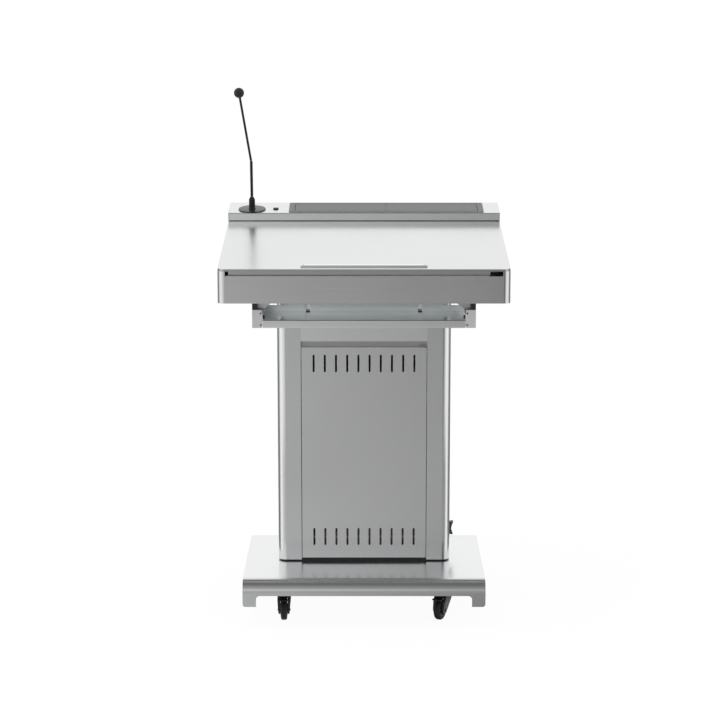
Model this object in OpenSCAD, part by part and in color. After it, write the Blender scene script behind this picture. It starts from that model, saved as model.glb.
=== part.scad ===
// Presentation lectern on casters.
// A sloping desk with a lifting lid, a rear console, a pull-out keyboard tray and a gooseneck microphone
// stands on a sheet-steel column with a vented door, over a bent-sheet base.
// +Z is up, the speaker stands on the -Y side, and the origin is on the floor under the middle of the desk.

/* [Desk] */
// Width of the desk across its side walls
desk_w = 802; // [700:1:1000]
// Depth of the desk, front to back
desk_d = 610; // [560:1:720]
// Height of the desk's underside above the floor
desk_bottom = 940; // [880:1:1000]
// Height of the front fascia
fascia_h = 75; // [60:1:110]
// Radius of the two front corners
desk_corner_r = 19; // [10:1:30]
// Thickness of the desk's wrapped sheet
desk_sheet = 2; // [1.5:0.5:3]
// Slope of the work top
slope = 9; // [6:0.5:12]
// Size of the cable cut-out in the desk floor, across and along
floor_cut = [200, 80]; // [40:1:240]

/* [Lid] */
// Distance of the lid's sides inside the desk's side walls
lid_inset = 1; // [0.5:0.1:1.4]
// Depth of the lid's turned-down edge
lid_edge = 6; // [5:0.5:12]
// Sheet thickness of the lid
lid_sheet = 2; // [1.5:0.5:3]
// Height of the open slot between the fascia and the lid
reveal_h = 13; // [9:0.5:20]
// Distance from the lid's front edge back to its hanging flange
flange_setback = 5; // [5:1:30]
// Width of the finger notch at the right end of the flange
notch_w = 35; // [25:1:60]
// Width of the corner posts at the ends of the slot
post_w = 21; // [20:1:40]
// Length of the paper stop
stop_l = 348; // [200:1:500]
// Depth of the paper stop
stop_d = 20; // [8:1:30]
// Height of the paper stop
stop_h = 6; // [4:0.5:15]
// Distance from the lid's front edge to the paper stop
stop_inset = 18; // [10:1:60]

/* [Lid hinge] */
// Distance of the piano hinge's ends inside the lid's sides
hinge_end = 12; // [8:1:60]
// Number of knuckles on the piano hinge
knuckles = 9; // [5:2:15]
// Radius of the hinge knuckle
knuckle_r = 2.2; // [2:0.1:3]
// Radius of the hinge pin
hinge_pin_r = 1.2; // [1:0.1:1.5]
// Thickness of the hinge leaves
leaf_t = 1; // [0.8:0.1:1.5]
// Gap between a knuckle and the leaf opposite it
knuckle_gap = 0.3; // [0.2:0.1:0.6]

/* [Console] */
// Depth of the console, measured up the slope
console_l = 121.4; // [112:0.2:150]
// How far the console's ends stand out past the desk's side walls
console_overhang = 1; // [0.5:0.1:3]
// Height of the console top above the lid
console_rise = 24; // [16:1:40]
// Sheet thickness of the console
console_sheet = 2; // [1.5:0.5:3]
// Radius of the console's long top edges
console_r = 3; // [1:0.5:6]

/* [Hatch] */
// Distance from the console's left end to the hatch frame
hatch_left = 179; // [160:1:250]
// Distance from the hatch frame to the console's right end
hatch_right = 47; // [20:1:120]
// Distance from the console's front edge to the hatch frame
hatch_front = 8.7; // [6:0.1:12]
// Distance from the hatch frame to the console's rear edge
hatch_rear = 6.7; // [6:0.1:12]
// Width of the frame at its left and right ends
hatch_side = 17; // [12:1:25]
// Width of the frame at its front and back
hatch_rim = 12; // [9:1:16]
// Thickness of the hatch frame over the console top
hatch_t = 1.5; // [1:0.5:3]
// Thickness of the flaps
flap_t = 3; // [2:0.5:4]
// Gap between the flaps and round them
flap_gap = 1.4; // [0.5:0.1:1.5]
// Radius of the flap hinge rod
flap_rod_r = 1.5; // [1.2:0.1:2]
// Depth of the socket tray under the flaps
socket_depth = 40; // [30:1:60]

/* [Microphone] */
// Distance from the console's left end to the microphone's middle
mic_inset = 69; // [56:1:76]
// Diameter of the microphone's base disc
mic_disc_d = 82; // [60:1:90]
// Thickness of the base disc
mic_disc_t = 3; // [2:0.5:8]
// Diameter of the boot round the neck's foot
boot_d = 18; // [14:1:24]
// Height of the straight part of the boot
boot_h = 28; // [15:1:40]
// Height of the tapered top of the boot
boot_taper = 8; // [4:1:15]
// Diameter of the lower neck
neck_d = 8.4; // [6:0.2:10]
// Diameter of the upper neck
upper_neck_d = 7; // [5:0.2:9]
// Height of the neck's bend above the console top
bend_h = 144.6; // [100:0.2:200]
// Length from the bend to the middle of the head
upper_neck_l = 209; // [120:1:260]
// Lean of the upper neck to the left
mic_lean = 8.8; // [0:0.2:30]
// Diameter of the foam windscreen
windscreen_d = 30; // [24:1:40]

/* [Keyboard tray] */
// Width of the tray
tray_w = 560; // [460:1:600]
// Gap between the tray's rear edge and the column
tray_rear_gap = 12; // [8:1:60]
// Height of the front lip
tray_lip = 16.5; // [12:0.5:24]
// Height of the rear upstand above the tray floor
tray_upstand = 19; // [10:0.5:24]
// Height of the tray floor above the lip's lower edge
tray_floor_lift = 6; // [3:0.5:8]
// Sheet thickness of the tray
tray_sheet = 2; // [1.5:0.5:3]
// Clear height from the lip's lower edge to the desk's underside
tray_drop = 65.5; // [60:0.5:90]
// How far the tray's front is set back from the fascia
tray_setback = 12; // [5:1:40]
// Width of the end caps beside the tray
cap_w = 25.6; // [24:0.2:32]
// Height of the end caps
cap_h = 50; // [45:1:54]
// Height of the ball slides
slide_h = 36; // [30:1:40]
// Distance of the cable notches from the middle
cable_notch_x = 160; // [80:1:220]
// Width of the cable notches
cable_notch_w = 11; // [8:1:16]

/* [Column] */
// Width of the column
column_w = 500; // [420:1:560]
// Depth of the column
column_d = 250; // [200:1:300]
// Distance from the fascia back to the column
column_setback = 252; // [250:1:280]
// Radius of the column's corners
column_r = 23; // [12:1:30]
// Sheet thickness of the column
column_sheet = 2; // [1.5:0.5:3]
// Height of the dark plinth under the column
plinth_h = 4; // [2:0.5:8]
// Width of the column's front on each side of the door's opening
stile_w = 68; // [50:1:80]
// Height of the door
door_h = 624; // [500:1:650]
// Gap along the door's edges
door_gap = 2; // [1.5:0.5:3]
// Depth of the door's folded edges
door_fold = 15; // [10:1:20]
// Height of the finger recess over the door
recess_h = 18; // [15:1:30]
// Number of vent slots in a row
vents = 10; // [4:2:12]
// Distance from the door's side edges to the first vent slot
vent_side = 32; // [20:1:60]
// Width of a vent slot
vent_w = 6.2; // [4:0.2:10]
// Length of a vent slot
vent_l = 51; // [30:1:70]
// Distance of the upper vents from the door's top edge
vent_top = 21; // [21:1:60]
// Distance of the lower vents from the door's lower edge
vent_bottom = 38; // [21:1:80]
// Width of the column's back on each side of the rear panel's opening
rear_stile_w = 50; // [45:1:80]
// Radius of the cable port's bore
port_r = 16; // [12:1:22]
// Length of the cable port's bore
port_l = 12; // [8:1:20]
// Heights of the equipment shelves above the column's foot
shelf_at = [240, 460]; // [150:1:600]

/* [Power switch] */
// Height of the switch above the base
switch_rise = 75; // [60:1:200]
// Distance of the switch behind the column's front
switch_back = 98; // [70:1:150]
// Width of the switch opening
switch_w = 26; // [22:1:30]
// Height of the switch opening
switch_h = 41; // [38:1:48]

/* [Base] */
// Width of the base
base_w = 688; // [600:1:800]
// How far the base stands out in front of the column
base_front_reach = 207; // [190:1:240]
// How far the base stands out behind the column
base_rear_reach = 59; // [45:1:90]
// Height of the base's top
base_top = 140; // [135:1:160]
// Radius of the front and rear bends
base_bend_r = 35; // [20:1:40]
// Sheet thickness of the base cover
base_sheet = 3; // [2:0.5:4]
// Height of the base cover's lip above the floor
lip_z = 96; // [93:1:99]
// Height of the corner legs' lower ends above the floor
leg_z = 64; // [55:1:75]
// Width of the corner legs
leg_w = 38; // [30:1:60]
// Radius inside the top of the legs
leg_fillet = 11; // [4:1:14]
// Radius of the legs' outer lower corners
leg_corner = 8; // [3:1:12]

/* [Casters] */
// Distance of the caster pivots inside the base's sides
caster_side = 114; // [104:1:140]
// Distance of the caster pivots inside the base's front and rear
caster_end = 110; // [100:1:125]
// Radius of the wheels
wheel_r = 30; // [26:1:30]
// Width of the wheels
wheel_w = 19; // [16:1:20]
// Distance from the pivot to the wheel's axle
trail = 24; // [18:1:26]
// Radius of the caster's round hood
hood_r = 20; // [18:1:22]
// Height of the caster plate's top above the floor
caster_h = 92; // [90:1:96]
// Thickness of the caster plates
caster_plate_t = 3; // [2:0.5:4]
// Side of the square caster plates
caster_plate_w = 66; // [62:1:80]
// Resting turn of the front right caster
front_right_turn = -27; // [-60:1:60]

/* [Hidden] */
$fn = 64;
eps = 0.01;                 // a cut runs this far past the face it opens
cut = 10;                   // a cut through a whole sheet runs this far past it
steel = [0.80, 0.80, 0.81];
dark_steel = [0.45, 0.46, 0.47];
black = [0.06, 0.06, 0.07];
zinc = [0.70, 0.71, 0.72];
pale_grey = [0.78, 0.78, 0.78];
running = 0.05;             // radial clearance of a pin in its bore
working_gap = 0.3;          // clearance between two pieces that move past each other
fit_gap = 0.2;              // clearance round a piece that is slipped into a hole or a folded edge
seam = 0.5;                 // clearance between two sheets that lie edge to edge

// heights and depths that several pieces share
front_y = -desk_d / 2;
rear_y = desk_d / 2;
lid_front_z = desk_bottom + fascia_h + reveal_h + lid_edge;
column_front = front_y + column_setback;
column_rear = column_front + column_d;
base_front = column_front - base_front_reach;
base_rear = column_rear + base_rear_reach;
caster_x = base_w / 2 - caster_side;
caster_rows = [base_front + caster_end, base_rear - caster_end];
shell_bottom = base_top + plinth_h;
shell_h = desk_bottom - shell_bottom;
door_rise = 10;
door_opening = column_w - 2 * stile_w;
door_w = door_opening - 2 * door_gap;
rear_opening = column_w - 2 * rear_stile_w;
door_bottom = base_top + door_rise;
door_top = door_bottom + door_h;
header_bottom = door_top + recess_h;
tray_front = front_y + tray_setback;
tray_d = column_setback - tray_setback - tray_rear_gap;
tray_bottom = desk_bottom - tray_drop;
lid_w = desk_w - 2 * lid_inset;
console_w = desk_w + 2 * console_overhang;
console_rear_s = (desk_d + console_rise * sin(slope)) / cos(slope);
console_s = console_rear_s - console_l;
hinge_s = console_s - leaf_t - knuckle_gap - knuckle_r;
hinge_n = -lid_edge / 2;
hinge_l = lid_w - 2 * hinge_end;
lid_l = hinge_s - knuckle_r - knuckle_gap - leaf_t;
hatch_w = console_w - hatch_left - hatch_right;
hatch_r = 5;
hatch_l = console_l - hatch_front - hatch_rear;
hatch_x = (hatch_left - hatch_right) / 2;
hatch_s = console_s + hatch_front + hatch_l / 2;
flap_open = [hatch_w - 2 * hatch_side, hatch_l - 2 * hatch_rim];
flap_top_n = console_rise + hatch_t;
knuckle_wall = 1.3;
flap_cover = 0.8;           // from the top of the flap's tube to the flap's face
flap_tail = 3.1;            // how far a flap reaches behind its hinge rod
flap_swing_gap = 0.45;      // clearance of that tail as the flap swings
flap_drop = flap_rod_r + knuckle_wall + flap_cover;
flap_axis_s = hatch_s + flap_open[1] / 2 - norm([flap_tail, flap_drop]) - flap_swing_gap;
flap_axis_n = flap_top_n - flap_drop;
mic_x = console_w / 2 - mic_inset;
mic_front_gap = 1;
mic_s = console_s + mic_disc_d / 2 + mic_front_gap;

// ---------- shared shapes ----------

// moves its children from the slope's own frame (across, up the slope, out of it) to the part's frame
module on_slope() translate([0, front_y, lid_front_z]) rotate([slope, 0, 0]) children();

// extrudes an outline drawn as (depth, height) across the part, centred on the middle
module across(w) rotate([90, 0, 90]) linear_extrude(w, center = true) children();

// extrudes an outline drawn as (across, height) along the depth, from y0 to y1
module along(y0, y1) translate([0, y1, 0]) rotate([90, 0, 0]) linear_extrude(y1 - y0) children();

// rectangle from corner a to corner b
module area(a, b) translate(a) square(b - a);

// box from corner a to corner b
module box(a, b) translate(a) cube(b - a);

// rectangle from corner a to corner b with all four corners rounded
module round_area(a, b, r) {
    area([a[0] + r, a[1]], [b[0] - r, b[1]]);
    area([a[0], a[1] + r], [b[0], b[1] - r]);
    for (x = [a[0] + r, b[0] - r], y = [a[1] + r, b[1] - r]) translate([x, y]) circle(r);
}

// rectangle from corner a to corner b with only the two corners at its low second coordinate rounded
module round_low(a, b, r) {
    area([a[0] + r, a[1]], [b[0] - r, b[1]]);
    area([a[0], a[1] + r], b);
    for (x = [a[0] + r, b[0] - r]) translate([x, a[1] + r]) circle(r);
}

// rectangle from corner a to corner b with only the two corners at its high second coordinate rounded
module round_high(a, b, r) {
    area([a[0] + r, a[1]], [b[0] - r, b[1]]);
    area(a, [b[0], b[1] - r]);
    for (x = [a[0] + r, b[0] - r]) translate([x, b[1] - r]) circle(r);
}

// upright slot of width w and length l with round ends
module slot(w, l) {
    square([w, l - w], center = true);
    for (y = [-1, 1]) translate([0, y * (l - w) / 2]) circle(w / 2);
}

// rod of radius r along the first axis, from x0 to x1, at depth y and height z
module rod_x(r, x0, x1, y, z) translate([x0, y, z]) rotate([0, 90, 0]) cylinder(r = r, h = x1 - x0);

// everything in the slope's frame above the height n, as deep and wide as the desk
module above_slope(n) on_slope() box([-desk_w, -desk_d, n], [desk_w, 2 * desk_d, n + desk_d]);

// ---------- base ----------

module base_outline(inset) {
    round_high([base_front + inset, leg_z - (inset > 0 ? cut : 0)],
        [base_rear - inset, base_top - inset], base_bend_r - inset);
}

module base_cover() color(steel) difference() {
    intersection() {
        across(base_w) base_outline(0);
        along(base_front - cut, base_rear + cut)
            round_low([-base_w / 2, leg_z], [base_w / 2, base_top], leg_corner);
    }
    across(base_w - 2 * base_sheet) base_outline(base_sheet);
    along(base_front - cut, base_rear + cut)
        round_high([-base_w / 2 + leg_w, leg_z - cut], [base_w / 2 - leg_w, lip_z], leg_fillet);
}

bolt_r = 4;
bolt_gap = 0.1;
bolt_head_r = 6.5;
bolt_head_h = 4.6;
nut_h = 6;
bolt_tail = 4;
bolt_x = caster_plate_w / 2 - 8;
pad_t = 5;
pad_w = caster_plate_w + 14;
beam_t = 3;
nut_gap = 1.5;
beam_w = 2 * (bolt_x + bolt_head_r + nut_gap + beam_t);
frame_top = base_top - base_sheet;
frame_bottom = caster_h + pad_t;

// plan of the ring's channel, narrowed by inset on each side
module beam_ring(inset) difference() {
    square_ring_area(beam_w / 2 - inset);
    square_ring_area(-beam_w / 2 + inset);
}

module square_ring_area(grow)
    area([-caster_x - grow, caster_rows[0] - grow], [caster_x + grow, caster_rows[1] + grow]);

// welded ring of channel, open below, with a pad for each caster
module base_frame() color(dark_steel) difference() {
    union() {
        difference() {
            translate([0, 0, frame_bottom]) linear_extrude(frame_top - frame_bottom) beam_ring(0);
            translate([0, 0, frame_bottom - cut])
                linear_extrude(frame_top - frame_bottom - beam_t + cut) beam_ring(beam_t);
        }
        at_pivots() translate([0, 0, caster_h]) linear_extrude(pad_t) square(pad_w, center = true);
    }
    at_pivots() caster_bolt_places() translate([0, 0, caster_h - cut])
        cylinder(r = bolt_r + bolt_gap, h = pad_t + 2 * cut);
}

// ---------- casters ----------

kingpin_r = 5;
kingpin_l = 12;
kingpin_end_gap = 1;
race_h = 4;
race_r = 22;
fork_top = caster_h - caster_plate_t - race_h - working_gap;
axle_r = 4;
cheek_t = 5;
cheek_gap = 1;
cheek_rear = 14;
cheek_front = 30;
fork_slot = wheel_w / 2 + cheek_gap;
fork_end_r = 13;
pedal_wheel_gap = 2.6;
pedal_hood_gap = 0.9;
pedal_swing_gap = 0.8;
pedal_side_gap = 0.6;
pedal_t = 2.5;
pedal_z = 2 * wheel_r + pedal_wheel_gap;
pedal_pivot = [-trail / 2, pedal_z + 1.4];
pedal_pin_r = 1.6;
pedal_tube_r = 3.2;
tread_w = 28;
tread_reach = 28;
tread_r = 4;
tread_back = 1.5;
hood_bottom = pedal_z + pedal_t + pedal_hood_gap;
hood_edge = 6;
hood_shoulder = hood_r - 1;
skirt_drop = 10;

module caster_bolt_places()
    for (x = [-1, 1], y = [-1, 1]) translate([x * bolt_x, y * bolt_x, 0]) children();

// puts a copy of its children on each caster's pivot, unturned
module at_pivots() for (x = [-caster_x, caster_x], y = caster_rows) translate([x, y, 0]) children();

// puts its children on one caster's pivot, turned as that caster rests
module at_caster(side, row, turn)
    translate([side * caster_x, caster_rows[row], 0]) rotate([0, 0, turn]) children();

module caster_plates() color(black) at_pivots() difference() {
    union() {
        translate([0, 0, caster_h - caster_plate_t]) linear_extrude(caster_plate_t)
            square(caster_plate_w, center = true);
        translate([0, 0, caster_h - caster_plate_t - race_h]) cylinder(r = race_r, h = race_h + eps);
        translate([0, 0, fork_top - kingpin_l]) cylinder(r = kingpin_r, h = kingpin_l + race_h);
    }
    caster_bolt_places() translate([0, 0, caster_h - caster_plate_t - cut])
        cylinder(r = bolt_r + bolt_gap, h = caster_plate_t + 2 * cut);
}

module caster_bolts() color(zinc) at_pivots() caster_bolt_places()
    translate([0, 0, caster_h - caster_plate_t]) {
        translate([0, 0, -bolt_head_h]) cylinder(r = bolt_head_r, h = bolt_head_h, $fn = 6);
        cylinder(r = bolt_r, h = caster_plate_t + pad_t + bolt_tail);
        translate([0, 0, caster_plate_t + pad_t]) cylinder(r = bolt_head_r, h = nut_h, $fn = 6);
    }

// side view of a fork's cheek, as (depth, height), down to its round end at the axle
module cheek_area() {
    translate([-trail, wheel_r]) circle(fork_end_r);
    polygon([
        [cheek_rear, fork_top - hood_edge],
        [cheek_rear, hood_bottom - hood_edge],
        [-trail + fork_end_r * cos(45), wheel_r - fork_end_r * sin(45)],
        [-trail - fork_end_r * cos(15), wheel_r + fork_end_r * sin(15)],
        [-cheek_front, wheel_r + 2 * fork_end_r],
        [-hood_shoulder, hood_bottom + hood_edge],
        [-trail / 2, fork_top - hood_edge]
    ]);
}

// front view of the fork, which narrows from the hood to the cheeks
module fork_front_area() polygon([
    [-fork_slot - cheek_t, wheel_r - fork_end_r],
    [fork_slot + cheek_t, wheel_r - fork_end_r],
    [hood_shoulder, hood_bottom - skirt_drop],
    [hood_shoulder, fork_top],
    [-hood_shoulder, fork_top],
    [-hood_shoulder, hood_bottom - skirt_drop]
]);

// yoke: a round hood over two cheeks that carry the axle, all one piece with the riveted axle
module caster_fork() color(black) {
    difference() {
        union() {
            translate([0, 0, hood_bottom]) cylinder(r = hood_r, h = fork_top - hood_bottom);
            intersection() {
                across(2 * hood_r) cheek_area();
                along(-2 * hood_r - trail, 2 * hood_r) fork_front_area();
            }
        }
        box([-fork_slot, -2 * hood_r - trail, 0], [fork_slot, 2 * hood_r, hood_bottom]);
        translate([0, 0, fork_top - kingpin_l - kingpin_end_gap])
            cylinder(r = kingpin_r + running, h = kingpin_l + kingpin_end_gap + cut);
    }
    rod_x(axle_r, -fork_slot - eps, fork_slot + eps, -trail, wheel_r);
    rod_x(pedal_pin_r, -fork_slot - eps, fork_slot + eps, pedal_pivot[0], pedal_pivot[1]);
}

tyre_t = 10;
tyre_shoulder_r = 3.5;
hub_r = wheel_r - tyre_t;
hub_rim = 4;
hub_boss = 4;
hub_recess = 3;

module wheel_hub() color(black) difference() {
    rod_x(hub_r, -wheel_w / 2, wheel_w / 2, -trail, wheel_r);
    rod_x(axle_r + running, -wheel_w, wheel_w, -trail, wheel_r);
    for (side = [-1, 1])
        translate([side * (wheel_w / 2 - hub_recess), -trail, wheel_r]) rotate([0, side * 90, 0])
            linear_extrude(cut) difference() {
                circle(hub_r - hub_rim);
                circle(axle_r + hub_boss);
            }
}

module wheel_tyre() color(black)
    translate([0, -trail, wheel_r]) rotate([0, 90, 0]) rotate_extrude() intersection() {
        round_area([hub_r - tyre_shoulder_r, -wheel_w / 2], [wheel_r, wheel_w / 2], tyre_shoulder_r);
        area([hub_r, -wheel_w], [wheel_r, wheel_w]);
    }

// pedal on its own pin, with a tread that stands out in front of the wheel
module brake_pedal() color(dark_steel) difference() {
    side = fork_slot - pedal_side_gap;
    tread_rear = -trail - fork_end_r - tread_back;
    union() {
        box([-side, tread_rear - seam, pedal_z],
            [side, pedal_pivot[0] + pedal_tube_r / 2, pedal_z + pedal_t]);
        translate([0, 0, pedal_z]) linear_extrude(pedal_t)
            round_area([-tread_w / 2, -trail - tread_reach], [tread_w / 2, tread_rear], tread_r);
        rod_x(pedal_tube_r, -side, side, pedal_pivot[0], pedal_pivot[1]);
    }
    rod_x(pedal_pin_r + running, -wheel_w, wheel_w, pedal_pivot[0], pedal_pivot[1]);
    translate([0, 0, hood_bottom - pedal_swing_gap]) linear_extrude(cut) circle(2 * hood_r);
}

// ---------- column ----------

// plan of the column, inset by the given distance
module column_plan(inset) round_area([-column_w / 2 + inset, column_front + inset],
    [column_w / 2 - inset, column_rear - inset], column_r - inset);

plinth_inset = 5;
shell_lip = 16;
sill_d = 14;
sill_side_gap = 1;
sill_gap = 1.5;
floor_relief = 2;
sill_back = column_front + plinth_inset + sill_d;

// low dark foot of the column, with a sill that stands up behind the door's lower edge
module plinth() color(black) {
    translate([0, 0, base_top]) linear_extrude(plinth_h) column_plan(plinth_inset);
    box([-door_opening / 2 + sill_side_gap, column_front + plinth_inset, shell_bottom - eps],
        [door_opening / 2 - sill_side_gap, sill_back, door_bottom - sill_gap]);
}

module column_floor() color(zinc) translate([0, 0, shell_bottom]) linear_extrude(column_sheet) difference() {
    column_plan(column_sheet + fit_gap);
    area([-door_opening / 2 - column_sheet - floor_relief, column_front - cut],
        [door_opening / 2 + column_sheet + floor_relief, sill_back + floor_relief]);
}

// one wrapped side of the column, with a lip folded inwards beside the door
module side_shell() translate([0, 0, shell_bottom]) linear_extrude(shell_h) {
    difference() {
        column_plan(0);
        column_plan(column_sheet);
        area([-column_w, column_front - cut], [door_opening / 2, column_rear - column_r]);
        area([-column_w, column_rear - column_r - eps], [rear_opening / 2, column_rear + cut]);
    }
    area([door_opening / 2, column_front + column_sheet - eps],
        [door_opening / 2 + column_sheet, column_front + shell_lip]);
}

screw_r = 2;
screw_gap = 0.1;
screw_head_r = 4.5;
screw_head_h = 2.2;
screw_tail = 3;
rear_overlap = 12;
screw_rows = 5;
screw_end = 40;
screw_pitch = (shell_h - 2 * screw_end) / (screw_rows - 1);
screw_heights = [for (i = [0 : screw_rows - 1]) shell_bottom + screw_end + i * screw_pitch];

module screw_places() for (side = [-1, 1], z = screw_heights)
    translate([side * (rear_opening + rear_overlap) / 2, column_rear, z]) rotate([-90, 0, 0]) children();

module screw_holes() screw_places() translate([0, 0, -cut]) cylinder(r = screw_r + screw_gap, h = 2 * cut);

module side_shell_left() color(steel) difference() {
    mirror([1, 0, 0]) side_shell();
    screw_holes();
}

switch_y = column_front + switch_back;
switch_z = base_top + switch_rise;

module side_shell_right() color(steel) difference() {
    side_shell();
    screw_holes();
    box([column_w / 2 - cut, switch_y - switch_w / 2, switch_z - switch_h / 2],
        [column_w / 2 + cut, switch_y + switch_w / 2, switch_z + switch_h / 2]);
}

port_rise = 70;
port_z = shell_bottom + port_rise;
port_wall = 2;
port_gap = 0.1;
port_flange = 6;
port_flange_t = port_flange / 2;
rear_vents = 8;
rear_vent_drop = 110;
vent_pitch = (door_w - 2 * vent_side - vent_w) / (vents - 1);

// a row of upright vent slots about the middle, centred at height z
module vent_row(count, z) for (i = [0 : count - 1])
    translate([(i - (count - 1) / 2) * vent_pitch, z]) slot(vent_w, vent_l);

module rear_panel() color(steel) difference() {
    half = rear_opening / 2 + rear_overlap;
    box([-half, column_rear - 2 * column_sheet, shell_bottom + column_sheet + seam],
        [half, column_rear - column_sheet, desk_bottom - seam]);
    screw_holes();
    translate([0, column_rear, port_z]) rotate([90, 0, 0])
        cylinder(r = port_r + port_wall, h = 2 * cut, center = true);
    along(column_rear - cut, column_rear + cut) vent_row(rear_vents, desk_bottom - rear_vent_drop);
}

module panel_screws() color(zinc) screw_places() {
    cylinder(r = screw_head_r, h = screw_head_h);
    translate([0, 0, -2 * column_sheet - screw_tail])
        cylinder(r = screw_r, h = 2 * column_sheet + screw_tail + eps);
}

// ring that lines the cable hole in the rear panel
module cable_port() color(black) translate([0, column_rear - column_sheet, port_z]) rotate([-90, 0, 0])
    difference() {
        union() {
            translate([0, 0, port_flange_t - port_l]) cylinder(r = port_r + port_wall - port_gap, h = port_l);
            cylinder(r = port_r + port_flange, h = port_flange_t);
        }
        translate([0, 0, -port_l]) cylinder(r = port_r, h = 2 * port_l);
    }

header_fold = 12;
header_half = door_opening / 2 - seam;

module header_panel() color(steel) difference() {
    box([-header_half, column_front, header_bottom], [header_half, column_front + header_fold, desk_bottom]);
    box([-header_half + column_sheet, column_front + column_sheet, header_bottom + column_sheet],
        [header_half - column_sheet, column_front + header_fold + cut, desk_bottom + cut]);
}

pull_gap = 2;
pull_back = column_front + door_fold + pull_gap;
pull_t = 1.5;
pull_skirt = 14;
pin_side = 10;
pin_depth = 4.6;
pin_x = door_opening / 2 - door_gap - pin_side;
pin_y = column_front + pin_depth;
pin_r = 1.9;
pin_engage = 8;
pin_tab_t = 2;
pin_tab_gap = 1;
pin_tab_half = 10;
pin_tab_front = 1.5;
pin_foot = [10, 7, 1];
pin_tab_z = door_top + pin_tab_gap;
door_corner_swing = norm([pin_side, door_fold - pin_depth]);
skirt_end = pin_x - door_corner_swing - seam;

// folded sheet behind the finger recess, which carries the door's upper pin; its skirt stops the door and
// ends short of the sweep of the door's hinged corner
module finger_pull() color(steel) {
    box([-header_half, pull_back, door_top], [header_half, pull_back + pull_t, header_bottom]);
    box([-header_half, pull_back, door_top - pull_skirt], [skirt_end, pull_back + pull_t, door_top + eps]);
    box([-header_half, column_front + header_fold, header_bottom - pull_t],
        [header_half, pull_back + eps, header_bottom]);
    difference() {
        box([pin_x - pin_tab_half, column_front + pin_tab_front, pin_tab_z],
            [header_half, pull_back + eps, pin_tab_z + pin_tab_t]);
        translate([pin_x, pin_y, door_top]) cylinder(r = pin_r, h = cut);
    }
}

module door_pins() color(zinc) {
    translate([pin_x, pin_y, door_top - pin_engage])
        cylinder(r = pin_r, h = pin_engage + pin_tab_gap + pin_tab_t);
    translate([pin_x, pin_y, door_bottom - sill_gap]) cylinder(r = pin_r, h = pin_engage + sill_gap);
    translate([pin_x - pin_foot[0] / 2, column_front + plinth_inset + fit_gap, door_bottom - sill_gap])
        cube(pin_foot);
}

module door() color(steel) difference() {
    box([-door_w / 2, column_front, door_bottom], [door_w / 2, column_front + door_fold, door_top]);
    box([-door_w / 2 + column_sheet, column_front + column_sheet, door_bottom + column_sheet],
        [door_w / 2 - column_sheet, column_front + door_fold + cut, door_top - column_sheet]);
    for (z = [door_bottom, door_top]) translate([pin_x, pin_y, z])
        cylinder(r = pin_r + running, h = 2 * cut, center = true);
    along(column_front - cut, column_front + door_fold) {
        vent_row(vents, door_bottom + vent_bottom + vent_l / 2);
        vent_row(vents, door_top - vent_top - vent_l / 2);
    }
}

catch_h = 40;
catch_w = 13;
catch_d = 12;
catch_wall = 2;
catch_overlap = 6;

// magnetic catch clipped over the left lip, just behind the door's folded edge
module door_catch() color(black) {
    z0 = (door_bottom + door_top - catch_h) / 2;
    z1 = z0 + catch_h;
    lip_x = -door_opening / 2;
    back = column_front + door_fold + catch_d;
    box([lip_x, column_front + door_fold + working_gap, z0], [lip_x + catch_w, back, z1]);
    box([lip_x - column_sheet - catch_wall, column_front + shell_lip - catch_overlap, z0],
        [lip_x - column_sheet, back, z1]);
    box([lip_x - column_sheet - eps, column_front + shell_lip, z0], [lip_x + eps, back, z1]);
}

shelf_fold = 22;
shelf_t = 1.5;
shelf_front_gap = 8;
shelf_rear_gap = 4;
shelf_half = column_w / 2 - column_sheet;

module equipment_shelves() color(zinc) for (rise = shelf_at)
    translate([0, 0, shell_bottom + rise]) difference() {
        box([-shelf_half, column_front + column_r + shelf_front_gap, -shelf_fold],
            [shelf_half, column_rear - column_r - shelf_rear_gap, 0]);
        box([-shelf_half + shelf_t, column_front, -shelf_fold - cut],
            [shelf_half - shelf_t, column_rear, -shelf_t]);
    }

bezel_t = 3;
bezel_rim = 4;
bezel_r = 3;
housing_d = 26;
cavity_d = 14;
cavity_side = 2.5;
cavity_end = 1.2;
rocker_gap = 0.5;
rocker_lift = 2;
rocker_axis_x = column_w / 2 + rocker_lift;
rocker_pin_r = 1.5;
rocker_half = switch_h / 2 - cavity_end - 1.3;
cavity_half = switch_w / 2 - cavity_side;

// housing of the main switch in the right side shell, with a cavity for the rocker
module switch_housing() color(black) translate([0, switch_y, switch_z]) {
    difference() {
        union() {
            box([column_w / 2 - housing_d, -switch_w / 2 + working_gap, -switch_h / 2 + working_gap],
                [column_w / 2 + eps, switch_w / 2 - working_gap, switch_h / 2 - working_gap]);
            translate([column_w / 2, 0, 0]) rotate([90, 0, 90]) linear_extrude(bezel_t)
                round_area(-[switch_w, switch_h] / 2 - [bezel_rim, bezel_rim],
                    [switch_w, switch_h] / 2 + [bezel_rim, bezel_rim], bezel_r);
        }
        box([column_w / 2 - cavity_d, -cavity_half, -switch_h / 2 + cavity_end],
            [column_w / 2 + cut, cavity_half, switch_h / 2 - cavity_end]);
    }
    translate([rocker_axis_x, 0, 0]) rotate([90, 0, 0])
        cylinder(r = rocker_pin_r, h = 2 * (cavity_half + eps), center = true);
}

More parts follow.
